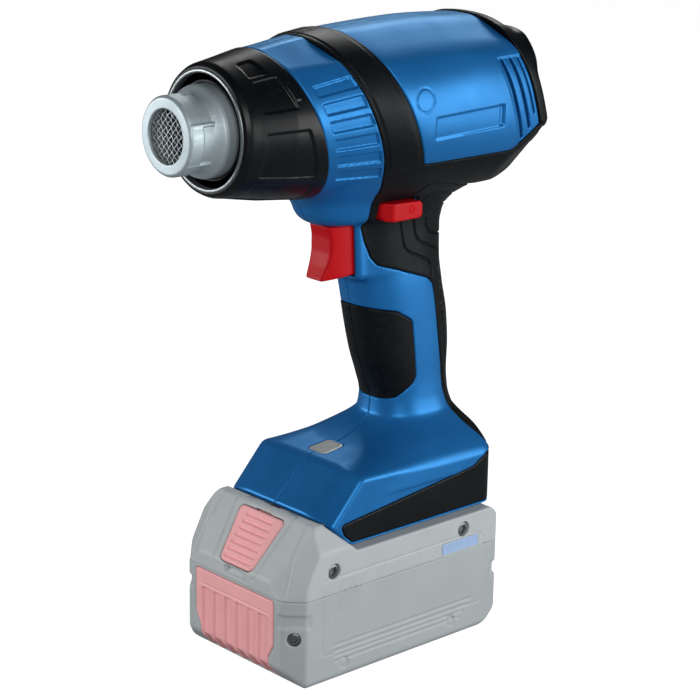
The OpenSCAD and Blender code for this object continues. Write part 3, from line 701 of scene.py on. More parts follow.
MESH_X, MESH_RADIUS = -101.9, 13.6
WIRE_PITCH, WIRE_RADIUS, WEAVE_HEIGHT, WIRE_SIDES = 2.45, 0.22, 0.24, 8
WIRE_STEP = 0.28
WIRE_CAP = np.array([[0, 1, 2, 3], [0, 3, 4, 7], [4, 5, 6, 7]])


def woven_wires():
    """Woven wires laid on the diagonal across the outlet."""
    all_points, all_faces = [], []
    angles = np.linspace(0, 2 * np.pi, WIRE_SIDES, endpoint=False)
    cos_row, sin_row = np.cos(angles)[None], np.sin(angles)[None]
    cos_lay, sin_lay = math.cos(math.radians(42)), math.sin(math.radians(42))
    base = 0
    for direction in (0, 1):
        for k in range(-5, 6):
            offset = k * WIRE_PITCH
            half = math.sqrt(MESH_RADIUS * MESH_RADIUS - offset * offset)
            count = int(2 * half / WIRE_STEP)
            t = np.linspace(-half, half, count)
            wave = WEAVE_HEIGHT * np.cos(math.pi * t / WIRE_PITCH + math.pi * (k + direction))
            wave = wave * (-1 if direction else 1)
            slope = np.gradient(wave, t)
            length = np.sqrt(1 + slope ** 2)
            # rings square to the wave
            depth = wave[:, None] + WIRE_RADIUS * sin_row * (1 / length)[:, None]
            along = t[:, None] + WIRE_RADIUS * sin_row * (-slope / length)[:, None]
            across = offset + WIRE_RADIUS * cos_row
            y, z = (across, along) if direction else (along, across)
            points = [depth + MESH_X, y * cos_lay - z * sin_lay,
                      y * sin_lay + z * cos_lay + AXIS_Z]
            all_points.append(np.stack(points, -1).reshape(-1, 3))
            i = np.arange(count - 1)[:, None] * WIRE_SIDES
            j = np.arange(WIRE_SIDES)[None]
            following = (j + 1) % WIRE_SIDES
            tube = np.stack([i + j, i + following, i + WIRE_SIDES + following,
                             i + WIRE_SIDES + j], -1).reshape(-1, 4)
            far_cap = WIRE_CAP + (count - 1) * WIRE_SIDES
            faces = np.concatenate([tube, WIRE_CAP[:, ::-1], far_cap]) + base
            all_faces.append(faces if direction else faces[:, ::-1])
            base += count * WIRE_SIDES
    return np.concatenate(all_points), np.concatenate(all_faces)


# ---------------------------------------------------------------- lamp lens, trigger and lock
def lamp_lens(x, y, z):
    form = body(x, y, z)
    return trim(form + 0.15, (lens_gap(x, y) + 0.15, 0.4), (-(form + 1.9), 0.2))


# z and x of the trigger's front
trigger_front = curve([(170, -21.0), (181, -20.2), (184, -19.0), (188, -17.3), (194, -15.9),
                       (200, -15.9), (204, -16.8), (207, -17.8), (215, -19)])


def trigger(x, y, z):
    """Narrower at the nose, on a stepped foot."""
    wide = np.abs(y)
    front = (trigger_front(z) - x) * 0.97 + 0.035 * np.maximum(0, wide - 3) ** 1.5
    blade = meet(wide - 9.45 + 0.012 * (x + 2) ** 2 * (x < -2), front, 1.2)
    edge = trim(z - 206.25, (x - 1.9, 3.0), (182.0 - z + 0.10 * (x + 6), 3.0))
    step = box(x, y, z, (3.8, 0, 194), (2.2, 8, 10), 0.3)
    base = box(x, y, z, (6.6, 0, 192.7), (1.0, 8.2, 13.3), 0.3)
    return np.minimum(meet(blade, edge, 1.0), np.minimum(step, base))


# lock slide seen from the side: (x, z)
lock_outline = Grid(-12, 36, 198, 228, 0.1, polygon_distance(rounded(
    [(2.6, 210.6), (4.4, 208.4), (9, 208.2), (23.8, 208.2), (25.3, 209.6), (25.3, 214.6),
     (23.9, 216.2), (4.0, 217.0), (2.6, 215.8)], 0.9)))


def lock_slide(x, y, z):
    wide = np.abs(y + 2.8)
    # slanted faces at the front corners
    out = trim(lock_outline(x, z), (wide - 21.8, 0.6),
               (0.70 * (wide - 20.3) - 0.71 * (x - 5.6), 0.7))
    # small ring groove on the left end
    ring = np.hypot(x - 18.2, z - 212.6) - 1.5
    return out + 0.35 * inside(np.abs(ring) - 0.3, 0.2) * (y < 0)


# ---------------------------------------------------------------- battery pack
PACK_FRONT, PACK_REAR, PACK_SIDE = -67.0, 66.0, 42.0    # front x, rear x, half width
BADGE_X, BADGE_Z = 39.5, 47.6
SCREW_XS, SCREW_Z = (-42, 41.5), 55                     # screws in the long sides
CORNER_SCREW_Z = 25.5                                   # screws in the front corners
LATCH_X, LATCH_Z = -57.5, 62.2
FLUTE_PITCH = 8.2


def bevel(first, second):
    return 0.7071 * (first + second)


def pack_plan(x, wide):
    """Outline seen from above, with cut corners."""
    front, rear, side = PACK_FRONT - x, x - PACK_REAR, wide - PACK_SIDE
    return trim(rear, (side, 2.0), (front, 2.0), (bevel(front, side) + 6.0, 0.8),
                (bevel(rear, side) + 1.6, 0.8))


def pack_hollow(x, y, wall):
    return trim(PACK_FRONT + 4.6 - x, (x - (PACK_REAR - 3.2), 6),
                (np.abs(y) - (PACK_SIDE - wall), 6))


def front_bevel(x, z):
    return bevel(PACK_FRONT - x, -z)


def front_face(x, z):
    """Front face and the chamfer under it."""
    return meet(PACK_FRONT - x, front_bevel(x, z) + 7.0, 1.4)


def panel_outline(y, z):
    half = np.interp(z, [0, 14.0, 20.5, 50], [24.4, 24.4, 28, 28])
    return trim((np.abs(y) - half) * 0.95, (2.6 - z, 0.8), (z - 42.6, 1.0))


def nose_plane(x, wide, z):
    return 0.798 * -x + 0.441 * wide + 0.410 * z


def slope_plane(x, z):
    return -0.791 * (x - LATCH_X) + 0.611 * (z - LATCH_Z)


def latch_axes(x, z):
    """Distances into the pack and up its front slope, from the latch centre."""
    across, upward = x - LATCH_X, z - LATCH_Z
    return 0.79122 * across - 0.61153 * upward, 0.61153 * across + 0.79122 * upward


def pack_side_detail(x, z, out):
    """Shallow patterns on the long sides."""
    # four level grooves
    level = z - (18.2 - 0.004 * (x + 44))
    for k in range(4):
        groove = meet(slab(level, -2.7 * k, 0.5), np.abs(x - 3 + 1.2 * k) - 45.5 + 1.6 * k, 0.5)
        out = out + 0.5 * inside(groove, 0.35)
    # hatch of five leaning grooves
    lean = (x + 33.0) - 0.40 * (z - 42)
    for k in range(5):
        groove = meet(slab(lean, 3.3 * (k - 2), 0.45), slab(z, 41.5, 8.2), 0.5)
        out = out + 0.45 * inside(groove, 0.3)
    # round dimples, shallower in the middle
    for dimple_x, dimple_z in ((-35.5, 8.0), (34.0, 9.2)):
        reach = np.hypot(x - dimple_x, z - dimple_z)
        out = out + 0.8 * inside(reach - 2.9, 0.35) - 0.5 * inside(reach - 1.5, 0.5)
    # frame line and a fine dotted patch
    field = trim(slab(x, 3.5, 52.5), (slab(z, 33.2, 18.6), 3.0),
                 (0.7071 * (x - 56 + z - 14.6 - 37) + 3.0, 2.0))
    out = out + 0.35 * inside(np.abs(field) - 0.35, 0.3)
    patch = trim(slab(x, 17, 33), (slab(z, 44.8, 5.4), 1.2),
                 (11.0 - (x + 0.55 * (z - 40)) - 26, 0.5))
    dots = (np.cos(2 * math.pi * (x + z * 0.5) / 2.0)
            * np.cos(2 * math.pi * (z - x * 0.12) / 2.0))
    return out - 0.17 * dots * inside(patch, 0.5)


def pack_lower(x, y, z):
    wide = np.abs(y)
    out = trim(pack_plan(x, wide), (front_bevel(x, z) + 7.0, 1.4),
               (bevel(x - PACK_REAR, -z) + 7.0, 1.4), (-z, 0.9),
               (0.72 * (wide - PACK_SIDE) - 0.69 * z + 2.0, 0.9))
    out = np.where(wide > 38, pack_side_detail(x, z, out), out)
    # notches in the rear and front corners
    side = wide - PACK_SIDE
    out = out + 1.3 * inside(slab(z, 29.5, 3.4), 0.7) * (bevel(x - PACK_REAR, side) + 4.5 > 0)
    corner = bevel(PACK_FRONT - x, side) + 8.0
    out = out + 1.1 * inside(slab(z, 34.0, 3.0), 0.7) * inside(-corner, 0.6)
    out = meet(out, z - 43.97, 0.22)
    hollow = trim(pack_hollow(x, y, 3.0), (3.2 - z, 1.0), (front_bevel(x, z) + 11.2, 1.0))
    out = np.maximum(out, -hollow)
    recess = np.maximum(panel_outline(y, z) - 0.22, -(front_face(x, z) + 1.9))
    out = meet(out, -recess, 0.4)
    # screw recesses in the front corners
    for sign in (-1, 1):
        along = bevel(x + 62.75, sign * y - 37.75)
        depth = bevel(PACK_FRONT - x, sign * y - PACK_SIDE) + 6.0
        hole = np.maximum(np.hypot(along, z - CORNER_SCREW_Z) - 3.3, -depth - 2.4)
        out = meet(out, -hole, 0.3)
    return out


def pack_upper(x, y, z):
    wide = np.abs(y)
    nose, slope = nose_plane(x, wide, z), slope_plane(x, z)
    shoulder = 0.811 * wide + 0.584 * z
    riser = meet(0.672 * (x + 42.3) + 0.741 * (z - 76) + 0.55, z - 75.9, 0.6)
    out = trim(pack_plan(x, wide), (nose - 85.9, 0.7), (slope - 0.9, 0.8),
               (shoulder - 72.0, 0.9), (0.62 * (x - PACK_REAR) + 0.78 * (z - 57.5), 1.6),
               (join(z - 61.95, riser, 0.6), 0.9))
    out = np.where(wide > 38, pack_side_detail(x, z, out), out)
    # rail on top with a wider lip
    rail = box(x, y, z, (3, 0, 66), (48, 28, 8), 0.8)
    lip = box(x, y, z, (3, 0, 71.55), (48, 31, 2.45), 0.7)
    out = meet(np.minimum(out, np.minimum(rail, lip)), 44.03 - z, 0.22)
    hollow = trim(pack_hollow(x, y, 3.2), (z - 58.4, 2.0), (nose - 82.0, 1.0),
                  (slope + 4.2, 1.0), (shoulder - 68.2, 1.0))
    out = np.maximum(out, -hollow)
    # latch seat, arm slots and a round well
    depth, climb = latch_axes(x, z)
    seat = trim(wide - (13.5 + 0.155 * climb) - 0.45, (slab(climb, 0, 14.4), 3.2),
                (depth - 7.4, 0.4))
    out = meet(out, -seat, 0.5)
    out = np.maximum(out, -box(x, y, z, (-35.5, 0, 76.4), (8.5, 5.6, 10), 0.3))
    out = np.maximum(out, -box(x, y, z, (-48, 0, 70.2), (8, 5.6, 3.9), 0.3))
    out = np.maximum(out, -np.maximum(np.hypot(x + 40, y) - 4.4, 55 - z))
    # four long slots in the rail
    for slot_y in (-18, -8, 8, 18):
        out = meet(out, -box(x, y, z, (45, slot_y, 70), (21, 1.3, 15), 0.3), 0.3)
    # groove beside the latch and a pocket under it
    groove = np.abs(meet(wide - (17.6 + 0.155 * climb), slab(climb, 1.0, 18.0), 4.0)) - 0.4
    out = out + 0.6 * inside(groove, 0.35) * ((x < -43) & (depth < 4) & (wide > 12))
    pocket = meet(wide - 7.0, slab(climb, -16.6, 1.5), 0.8)
    out = out + 2.0 * inside(pocket, 0.5) * (depth < 3) * (x < -60)
    # creases down the front, either side of the latch
    crease = np.abs((wide - 31.5) * 0.93 + 0.14 * (z - 60)) - 0.35
    out = out + 0.6 * inside(crease, 0.4) * inside(44.5 - z, 1.0) * (x < -46) * (depth < 4)
    # badge and screw recesses in the long sides
    badge = meet(slab(x, BADGE_X, 12.2), slab(z, BADGE_Z, 2.95), 0.7)
    out = meet(out, -np.maximum(badge, PACK_SIDE - 0.62 - wide), 0.2)
    for screw_x in SCREW_XS:
        hole = np.hypot(x - screw_x, z - SCREW_Z) - 3.7
        out = meet(out, -np.maximum(hole, PACK_SIDE - 2.9 - wide), 0.3)
    return out


def front_panel(x, y, z):
    """Panel with six upright flutes and a level groove above them."""
    face = front_face(x, z)
    from_centre = y - FLUTE_PITCH / 2
    k = np.clip(np.round(from_centre / FLUTE_PITCH), -3, 2)
    flute = meet(slab(from_centre, FLUTE_PITCH * k, 2.95), z - 33.6, 0.8)
    skin = face - 0.35 + 1.15 * inside(flute, 0.45)
    skin = skin + 0.3 * inside(slab(z, 35.6, 0.3), 0.3) * (np.abs(y) < 25.5)
    return np.maximum(meet(skin, panel_outline(y, z), 0.6), -(face + 1.85))


def latch(x, y, z):
    depth, climb = latch_axes(x, z)
    wide = np.abs(y)
    out = trim(wide - (13.5 + 0.155 * climb), (slab(climb, 0, 14.0), 3.0),
               (-1.05 - depth, 0.9), (depth - 3.4, 0.2))
    # seven grooves across the button
    for i in range(-3, 4):
        groove = meet(wide - 9.6, slab(climb, i * 3.6, 0.8), 0.7)
        out = out + 0.8 * inside(groove, 0.4) * (depth < 1)
    arm = np.minimum(box(x, y, z, (-40, 0, 71.9), (9, 5, 1.3), 0.2),
                     box(x, y, z, (-33.5, 0, 74.7), (2.5, 5, 1.65), 0.2))
    return np.minimum(out, arm)


def badges(x, y, z):
    """A thin badge on each side, sunk inside its rim."""
    level = PACK_SIDE - 0.3
    out = trim(slab(x, BADGE_X, 12.0), (slab(z, BADGE_Z, 2.75), 0.6),
               (np.abs(np.abs(y) - level) - 0.3, 0.12))
    field = meet(slab(x, BADGE_X, 11.0), slab(z, BADGE_Z, 1.85), 0.5)
    return out + 0.12 * inside(field, 0.15) * (np.abs(y) > level)


# ---------------------------------------------------------------- finishes
def linear(code):
    """Linear colour from a hex sRGB code."""
    values = [int(code[i:i + 2], 16) / 255 for i in (0, 2, 4)]
    return [v / 12.92 if v <= 0.04045 else ((v + 0.055) / 1.055) ** 2.4 for v in values]


def empty_tree(owner):
    owner.use_nodes = True
    owner.node_tree.nodes.clear()
    return owner.node_tree


def add_node(tree, kind, inputs=None, **settings):
    """New node. An input is a value, a socket, or a node for its first output."""
    node = tree.nodes.new("ShaderNode" + kind)
    for key, value in settings.items():
        setattr(node, key, value)
    for key, value in (inputs or {}).items():
        if isinstance(value, bpy.types.Node):
            value = value.outputs[0]
        if isinstance(value, bpy.types.NodeSocket):
            tree.links.new(value, node.inputs[key])
        else:
            node.inputs[key].default_value = value
    return node


def finish(name, colour, rough, tint=(1, 1, 1), metal=0.0, spec=0.5, coat=0.0, coat_rough=0.08,
           mottle=0.05, mottle_scale=55, rough_var=0.08, grain=900, grain_depth=0.00004,
           stretch=(1, 1, 1), wear=None, trans=0.0, dust=0.0, cells=0.0, cell_scale=700,
           fine=0.0):
    """Colour drift, uneven gloss, moulded or brushed grain and rubbed edges.

    Colours are hex codes and wear is (amount, colour). mottle and rough_var are the swings of
    brightness and roughness. grain is the scale of the grain noise. cells and fine are the
    strengths of a pebbled and a very fine bump.
    """
    material = bpy.data.materials.new(name)
    tree = empty_tree(material)

    def add(kind, inputs=None, **settings):
        return add_node(tree, kind, inputs, **settings)

    def noise(vector, scale, detail, roughness=0.5):
        return add("TexNoise", {"Vector": vector, "Scale": scale, "Detail": detail,
                                "Roughness": roughness})

    def remap(value, from_min, from_max, to_min=0.0, to_max=1.0):
        return add("MapRange", {"Value": value, "From Min": from_min, "From Max": from_max,
                                "To Min": to_min, "To Max": to_max})

    def blend(factor, first, second):
        return add("Mix", {0: factor, 6: first, 7: (*second, 1)}, data_type="RGBA").outputs[2]

    def bump(height, strength, distance, **normal):
        return add("Bump", {"Height": height, "Strength": strength, "Distance": distance,
                            **normal})

    place_on = add("TexCoord").outputs["Object"]
    drift = noise(place_on, scale=mottle_scale, detail=5, roughness=0.6)
    stretched = add("Mapping", {0: place_on, "Scale": stretch})
    grain_noise = noise(stretched, scale=grain, detail=3, roughness=0.65)
    # colour
    base = linear(colour)
    plain = add("RGB")
    plain.outputs[0].default_value = (*base, 1)
    brightness = remap(drift, 0.3, 0.7, 1 - mottle, 1 + mottle)
    shade = add("HueSaturation", {"Color": plain, "Value": brightness})
    if dust > 0:
        specks = noise(place_on, scale=mottle_scale * 6, detail=8, roughness=0.75)
        shade = blend(remap(specks, 0.52, 0.75, to_max=dust), shade, (0.42, 0.42, 0.40))
    if wear:
        amount, wear_colour = wear
        edges = add("NewGeometry").outputs["Pointiness"]
        rubbed = add("Math", {0: remap(edges, 0.535, 0.60, to_max=amount),
                              1: remap(drift, 0.35, 0.62)}, operation="MULTIPLY")
        shade = blend(rubbed, shade, linear(wear_colour))
    # gloss: both noises, brought back to the middle of the range
    gloss = add("Math", {0: grain_noise, 1: 0.35, 2: drift}, operation="MULTIPLY_ADD")
    gloss = add("Math", {0: gloss, 1: 0.17}, operation="SUBTRACT")
    roughness = remap(gloss, 0.3, 0.7, max(0.03, rough - rough_var), min(1, rough + rough_var))
    # surface grain
    normal = bump(grain_noise, strength=0.25, distance=grain_depth)
    if cells > 0:
        pebbles = add("TexVoronoi", {"Scale": cell_scale, "Vector": place_on})
        normal = bump(pebbles.outputs["Distance"], strength=cells, distance=0.00012,
                      Normal=normal)
    if fine > 0:
        normal = bump(noise(place_on, scale=3200, detail=1), strength=fine, distance=0.00003,
                      Normal=normal)
    shader = add("BsdfPrincipled", {
        "Base Color": shade, "Roughness": roughness, "Normal": normal, "Metallic": metal,
        "IOR": 1.46, "Specular IOR Level": spec, "Specular Tint": (*tint, 1),
        "Coat Weight": coat, "Coat Roughness": coat_rough, "Transmission Weight": trans})
    add("OutputMaterial", {0: shader})
    material.diffuse_color = (*base, 1)
    return material


PACK_PLASTIC = dict(rough=0.48, spec=0.3, mottle=0.035, rough_var=0.06, grain=1100,
                    grain_depth=0.00006, fine=0.3)
# slot: looks; the material is named after its slot unless a name is given
FINISHES = {
    "housing_blue": dict(
        name="moulded_blue", colour="1d69ad", rough=0.40, tint=(0.22, 0.85, 1.0), metal=0.38,
        spec=0.75, coat=0.03, coat_rough=0.25, mottle=0.035, rough_var=0.05, grain=1500,
        grain_depth=0.00003, fine=0.12, wear=(0.3, "3d8fd6")),
    "soft_black": dict(
        name="soft_black_skin", colour="0a0e11", rough=0.42, spec=0.17, mottle=0.08,
        rough_var=0.07, grain=1300, grain_depth=0.00005, fine=0.25, wear=(0.2, "23292d"),
        dust=0.02),
    "grip_black": dict(
        name="grip_black_skin", colour="090d10", rough=0.46, spec=0.16, mottle=0.08,
        rough_var=0.06, grain=1300, cells=0.35, cell_scale=620, wear=(0.2, "22282b"),
        dust=0.02),
    "shield_black": dict(
        name="heat_shield_black", colour="080c0f", rough=0.35, spec=0.22, mottle=0.08,
        rough_var=0.06, grain=1200, coat=0.04, coat_rough=0.2, fine=0.1,
        wear=(0.08, "2a3034"), dust=0.015),
    "cap_black": dict(
        name="rear_cap_black", colour="090d10", rough=0.36, spec=0.2, mottle=0.08,
        rough_var=0.07, grain=1100, grain_depth=0.00005, fine=0.2, wear=(0.2, "23292d")),
    "outlet_steel": dict(
        colour="aebbc0", rough=0.50, metal=0.6, spec=0.3, mottle=0.06, mottle_scale=40,
        rough_var=0.10, grain=700, stretch=(0.15, 1, 1), grain_depth=0.00003,
        wear=(0.4, "f2f3f4")),
    "guard_wire": dict(
        name="outlet_wire", colour="c4cbce", rough=0.45, metal=0.5, spec=0.3, mottle=0.12,
        mottle_scale=300, rough_var=0.10, grain=2400, grain_depth=0.00003),
    "trim_grey": dict(name="trim_ring_grey", colour="8d9496", rough=0.38, metal=0.85,
                      mottle=0.06),
    # very dark colour: partly heat staining, mostly painted shade for the inside of the duct
    # behind the outlet mesh
    "duct_steel": dict(colour="26272a", rough=0.55, metal=0.8, mottle=0.12, grain=600,
                       stretch=(0.1, 1, 1)),
    "mica": dict(colour="3b352a", rough=0.5, mottle=0.2, mottle_scale=140, coat=0.3, grain=400,
                 grain_depth=0.0001),
    "heater_wire": dict(colour="45403c", rough=0.45, metal=1.0, mottle=0.2),
    "electric_black": dict(colour="212223", rough=0.48, mottle=0.08),
    "screw_steel": dict(colour="56585b", rough=0.34, metal=1.0, mottle=0.1, rough_var=0.1,
                        grain=1200, wear=(0.5, "b9bcbf")),
    "lens_clear": dict(name="lamp_lens", colour="b4b9b7", rough=0.16, mottle=0.03, coat=0.6,
                       coat_rough=0.05, grain=500, rough_var=0.04, trans=0.25),
    "board_green": dict(colour="1f5136", rough=0.4, mottle=0.12, mottle_scale=260, coat=0.3),
    "zinc_plate": dict(colour="a4a6a2", rough=0.36, metal=1.0, mottle=0.14, mottle_scale=120,
                       grain=500),
    "ferrite": dict(colour="3a3a3c", rough=0.6, mottle=0.12, grain=1500, grain_depth=0.0001),
    "bronze": dict(colour="a77b4a", rough=0.38, metal=1.0, mottle=0.1),
    "copper_core": dict(colour="b06a42", rough=0.36, metal=1.0, mottle=0.15, mottle_scale=300),
    "control_red": dict(
        colour="b80a14", rough=0.40, spec=0.14, rough_var=0.06, grain=1400,
        grain_depth=0.00005, fine=0.25, wear=(0.25, "e23a38")),
    "nylon_white": dict(colour="d8d6cf", rough=0.42, mottle=0.04),
    "spring_steel": dict(colour="9fa1a3", rough=0.28, metal=1.0, mottle=0.08, grain=1500),
    "sink_aluminium": dict(colour="b6b8ba", rough=0.36, metal=1.0, mottle=0.08, grain=500,
                           stretch=(1, 0.1, 1)),
    "wire_red": dict(colour="a81d1d", rough=0.42, mottle=0.08),
    "pack_grey_dark": dict(colour="a9b0b2", wear=(0.3, "c9ced0"), **PACK_PLASTIC),
    "pack_grey": dict(colour="b3b9bb", wear=(0.3, "d2d6d8"), **PACK_PLASTIC),
    "pack_pink": dict(
        colour="f2aeb0", rough=0.46, spec=0.25, mottle=0.04, rough_var=0.06, grain=1200,
        grain_depth=0.00005, fine=0.25, wear=(0.3, "fac9ca")),
    "badge_blue": dict(colour="9db7dd", rough=0.34, mottle=0.04, coat=0.25, coat_rough=0.15),
    "pack_screw": dict(colour="7b8084", rough=0.34, metal=0.9, mottle=0.1, grain=1200,
                       wear=(0.4, "c4c8ca")),
    "cell_wrap": dict(colour="3d7d52", rough=0.3, mottle=0.06, coat=0.4),
}
MATERIALS = {slot: finish(**{"name": slot, **looks}) for slot, looks in FINISHES.items()}


# ---------------------------------------------------------------- the pieces
slots = {row.get("node"): row.get("material_slot")
         for row in frame["record"].get("subparts", [])}
for node_name, part in frame["nodes"].items():
    part.data.materials.clear()
    part.data.materials.append(MATERIALS.get(slots.get(node_name), MATERIALS["electric_black"]))


def piece(name, shape, low, high, cell, slot, body_name="tool", node=None, look=None):
    """Meshes a shape; its node and look default to its name and its slot."""
    points, faces = surface(shape, low, high, cell * CELL_SCALE)
    obj = make_mesh(name + "_skin", points, faces, MATERIALS[look or slot])
    place(obj, body_name, node or name)


for side, tag in ((-1, "left"), (1, "right")):
    low_y, high_y = (-44.5, 0.2) if side < 0 else (-0.2, 44.5)
    piece("housing_" + tag, housing_half(side), (-64, low_y, 61), (92, high_y, 301), 0.56,
          "housing_blue")
    piece("soft_band_" + tag, soft_skin(side, band_outline, band=True),
          (-36, low_y, 86), (108, high_y, 301), 0.58, "soft_black")
    piece("front_grip_" + tag, soft_skin(side, grip_outline, proud=0.25, edge=0.7),
          (-4, low_y, 114), (34, high_y, 170), 0.6, "soft_black", look="grip_black")
    piece("foot_panel_" + tag, soft_skin(side, foot_outline, gap=0.15, on_foot=True),
          (-36, low_y, 61), (70, high_y, 91), 0.6, "soft_black", look="cap_black")
piece("rear_cap", rear_cap, (68, -43, 206), (109, 43, 300), 0.7, "cap_black")
piece("intake_screen", intake_screen, (68, -28, 222), (96, 28, 284), 0.6, "electric_black")
piece("front_cover", front_cover, (-86, -38, 219), (-28, 38, 297), 0.48, "shield_black")
piece("cover_ring", cover_ring, (-86, -28, 229), (-80, 28, 287), 0.45, "trim_grey")
piece("nozzle_tube", nozzle, (-106, -21, 236), (-75, 21, 280), 0.42, "outlet_steel")
place(make_mesh("outlet_mesh_wires", *woven_wires(), MATERIALS["guard_wire"]),
      "tool", "outlet_mesh")
piece("lamp_lens", lamp_lens, (-28, -9, 88), (4, 9, 104), 0.4, "lens_clear", node="led_lens")
piece("trigger", trigger, (-22, -10, 179), (9, 10, 207), 0.42, "control_red", "trigger")
piece("lock_slide", lock_slide, (-4, -25.2, 207), (27, 20, 218.5), 0.42, "control_red", "lock")
piece("pack_lower", pack_lower, (-68, -43, -1), (67, 43, 45), 0.8, "pack_grey_dark",
      "battery_pack", "pack_lower_case")
piece("pack_upper", pack_upper, (-68, -43, 43), (67, 43, 77), 0.7, "pack_grey",
      "battery_pack", "pack_upper_case")
piece("pack_front", front_panel, (-69, -29, 1), (-55, 29, 44), 0.5, "pack_pink",
      "battery_pack", "pack_front_panel")
piece("latch", latch, (-72, -18, 49), (-29, 18, 78), 0.5, "pack_pink", "latch", "latch_button")
piece("pack_badge", badges, (27, -43, 44), (52, 43, 51.5), 0.35, "badge_blue",
      "battery_pack", "pack_badges")


def screw_head(centre, direction, radius, depth):
    """Domed head with a six-lobed socket, from rings of (share of radius, height)."""
    rings = [(0.0, -1.35), (0.30, -1.35), (0.46, -1.25), (0.50, -0.2), (0.56, 0.0),
             (0.78, -0.03), (0.90, -0.14), (0.97, -0.32), (1.0, -0.55), (1.0, -depth),
             (0.5, -depth), (0.0, -depth)]
    steps = 48
    normal = np.array(direction, float)
    normal /= np.linalg.norm(normal)
    side = np.cross(normal, (0, 0, 1.0))
    side /= np.linalg.norm(side)
    other = np.cross(normal, side)
    points, faces = [], []
    for ring, (share, height) in enumerate(rings):
        for i in range(steps):
            angle = 2 * math.pi * i / steps
            lobe = 0.16 * math.cos(6 * angle) if 1 <= ring <= 4 else 0
            reach = share * radius * (1 + lobe)
            points.append(np.array(centre) + side * reach * math.cos(angle)
                          + other * reach * math.sin(angle) + normal * height)
    for start in range(0, (len(rings) - 1) * steps, steps):
        for i in range(steps):
            j = (i + 1) % steps
            faces.append([start + i, start + j, start + steps + j, start + steps + i])
    return np.array(points), np.array(faces)


def pack_screws():
    heads = [screw_head((x, sign * (PACK_SIDE - 0.62), SCREW_Z), (0, sign, 0), 3.4, 2.0)
             for x in SCREW_XS for sign in (-1, 1)]
    heads += [screw_head((-62.2, sign * 37.2, CORNER_SCREW_Z), (-1, sign, 0), 3.0, 1.6)
              for sign in (-1, 1)]
    points = np.concatenate([head[0] for head in heads])
    faces = np.concatenate([head[1] + i * len(head[0]) for i, head in enumerate(heads)])
    obj = make_mesh("pack_screw_heads", points, faces, MATERIALS["pack_screw"])
    # weld the centre points, then keep the hard edges crisp
    work = bmesh.new()
    work.from_mesh(obj.data)
    bmesh.ops.remove_doubles(work, verts=work.verts, dist=1e-7)
    bmesh.ops.recalc_face_normals(work, faces=work.faces)
    work.to_mesh(obj.data)
    work.free()
    obj.data.update()
    obj.data.set_sharp_from_angle(angle=math.radians(40))
    place(obj, "battery_pack", "pack_screws")


pack_screws()


# ---------------------------------------------------------------- studio (metres)
scene = bpy.context.scene


def white_world():
    """Near white to the camera, dim as a light and dimmer in reflections."""
    world = bpy.data.worlds.new("studio")
    scene.world = world
    tree = empty_tree(world)

    def background(colour, strength):
        return add_node(tree, "Background", {0: (*colour, 1), 1: strength})

    rays = add_node(tree, "LightPath")
    lit = add_node(tree, "MixShader", {
        0: rays.outputs["Is Glossy Ray"],
        1: background(colour=(1, 1, 1), strength=0.14),
        2: background(colour=(0.9, 0.95, 1), strength=0.035)})
    seen = add_node(tree, "MixShader", {
        0: rays.outputs["Is Camera Ray"], 1: lit,
        2: background(colour=(1, 1, 1), strength=0.97)})
    add_node(tree, "OutputWorld", {0: seen})


def soft_box(name, direction, distance, power, width=0.8, height=0.8, target=(0.0, 0.0, 0.15)):
    light = bpy.data.lights.new(name, "AREA")
    light.shape = "RECTANGLE"
    light.size, light.size_y = width, height
    light.energy = power
    obj = bpy.data.objects.new(name, light)
    scene.collection.objects.link(obj)
    away = Vector(direction).normalized()
    obj.location = Vector(target) + away * distance
    obj.rotation_mode = "QUATERNION"
    obj.rotation_quaternion = away.to_track_quat("Z", "Y")


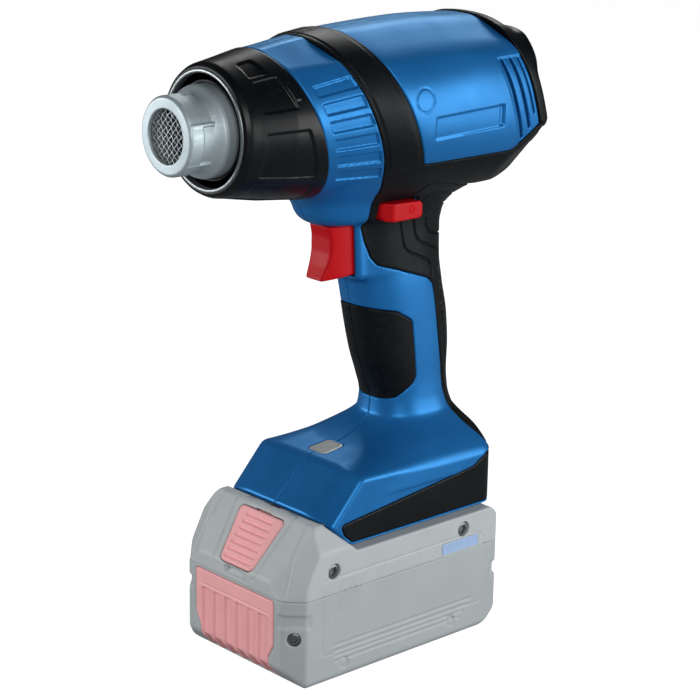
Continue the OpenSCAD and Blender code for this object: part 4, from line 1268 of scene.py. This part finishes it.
def pale_floor():
    """Floor that glows to the camera only, so that it fades into the white."""
    material = bpy.data.materials.new("pale_floor")
    tree = empty_tree(material)
    matt = add_node(tree, "BsdfDiffuse", {0: (0.34, 0.35, 0.36, 1)})
    glow = add_node(tree, "Emission", {1: 0.93})
    both = add_node(tree, "AddShader", {0: matt, 1: glow})
    rays = add_node(tree, "LightPath")
    seen = add_node(tree, "MixShader", {0: rays.outputs["Is Camera Ray"], 1: matt, 2: both})
    add_node(tree, "OutputMaterial", {0: seen})
    corners = [(-6000, -6000, 0), (6000, -6000, 0), (6000, 6000, 0), (-6000, 6000, 0)]
    obj = make_mesh("floor", corners, [[0, 1, 2, 3]], material, smooth=False)
    obj.location.z = -0.0002


def add_camera(turn, tilt, roll, lens, target, distance):
    """Camera aimed at the target; angles in degrees, turn measured from -y."""
    data = bpy.data.cameras.new("camera")
    camera = bpy.data.objects.new("camera", data)
    scene.collection.objects.link(camera)
    scene.camera = camera
    data.sensor_width = 36.0
    data.lens = lens
    turn, tilt, roll = math.radians(turn), math.radians(tilt), math.radians(roll)
    back = Vector((math.sin(turn) * math.cos(tilt), -math.cos(turn) * math.cos(tilt),
                   math.sin(tilt)))
    level = Vector((math.cos(turn), math.sin(turn), 0))
    upright_axis = back.cross(level)
    right = level * math.cos(roll) + upright_axis * math.sin(roll)
    top = -level * math.sin(roll) + upright_axis * math.cos(roll)
    rotation = Matrix((right, top, back)).transposed()
    camera.matrix_world = (Matrix.Translation(Vector(target) + back * distance)
                           @ rotation.to_4x4())
    data.clip_start, data.clip_end = 0.05, 50


white_world()
soft_box("box_right", direction=(0.57, -0.82, 0.0), distance=1.3, power=14)
soft_box("box_back_top", direction=(0.60, 0.48, 0.62), distance=1.5, power=5.5, width=0.7,
         height=0.5)
soft_box("box_left_back", direction=(-0.72, 0.66, -0.02), distance=1.5, power=15,
         target=(0, 0, 0.3))
soft_box("box_front", direction=(-0.50, -0.88, 0.40), distance=1.7, power=14)
pale_floor()
add_camera(turn=-42.54, tilt=16.65, roll=0.95, lens=114.3257143,
           target=(0.003675, 0, 0.1425), distance=1.05)
scene.view_settings.view_transform = "Standard"
scene.view_settings.look = "None"
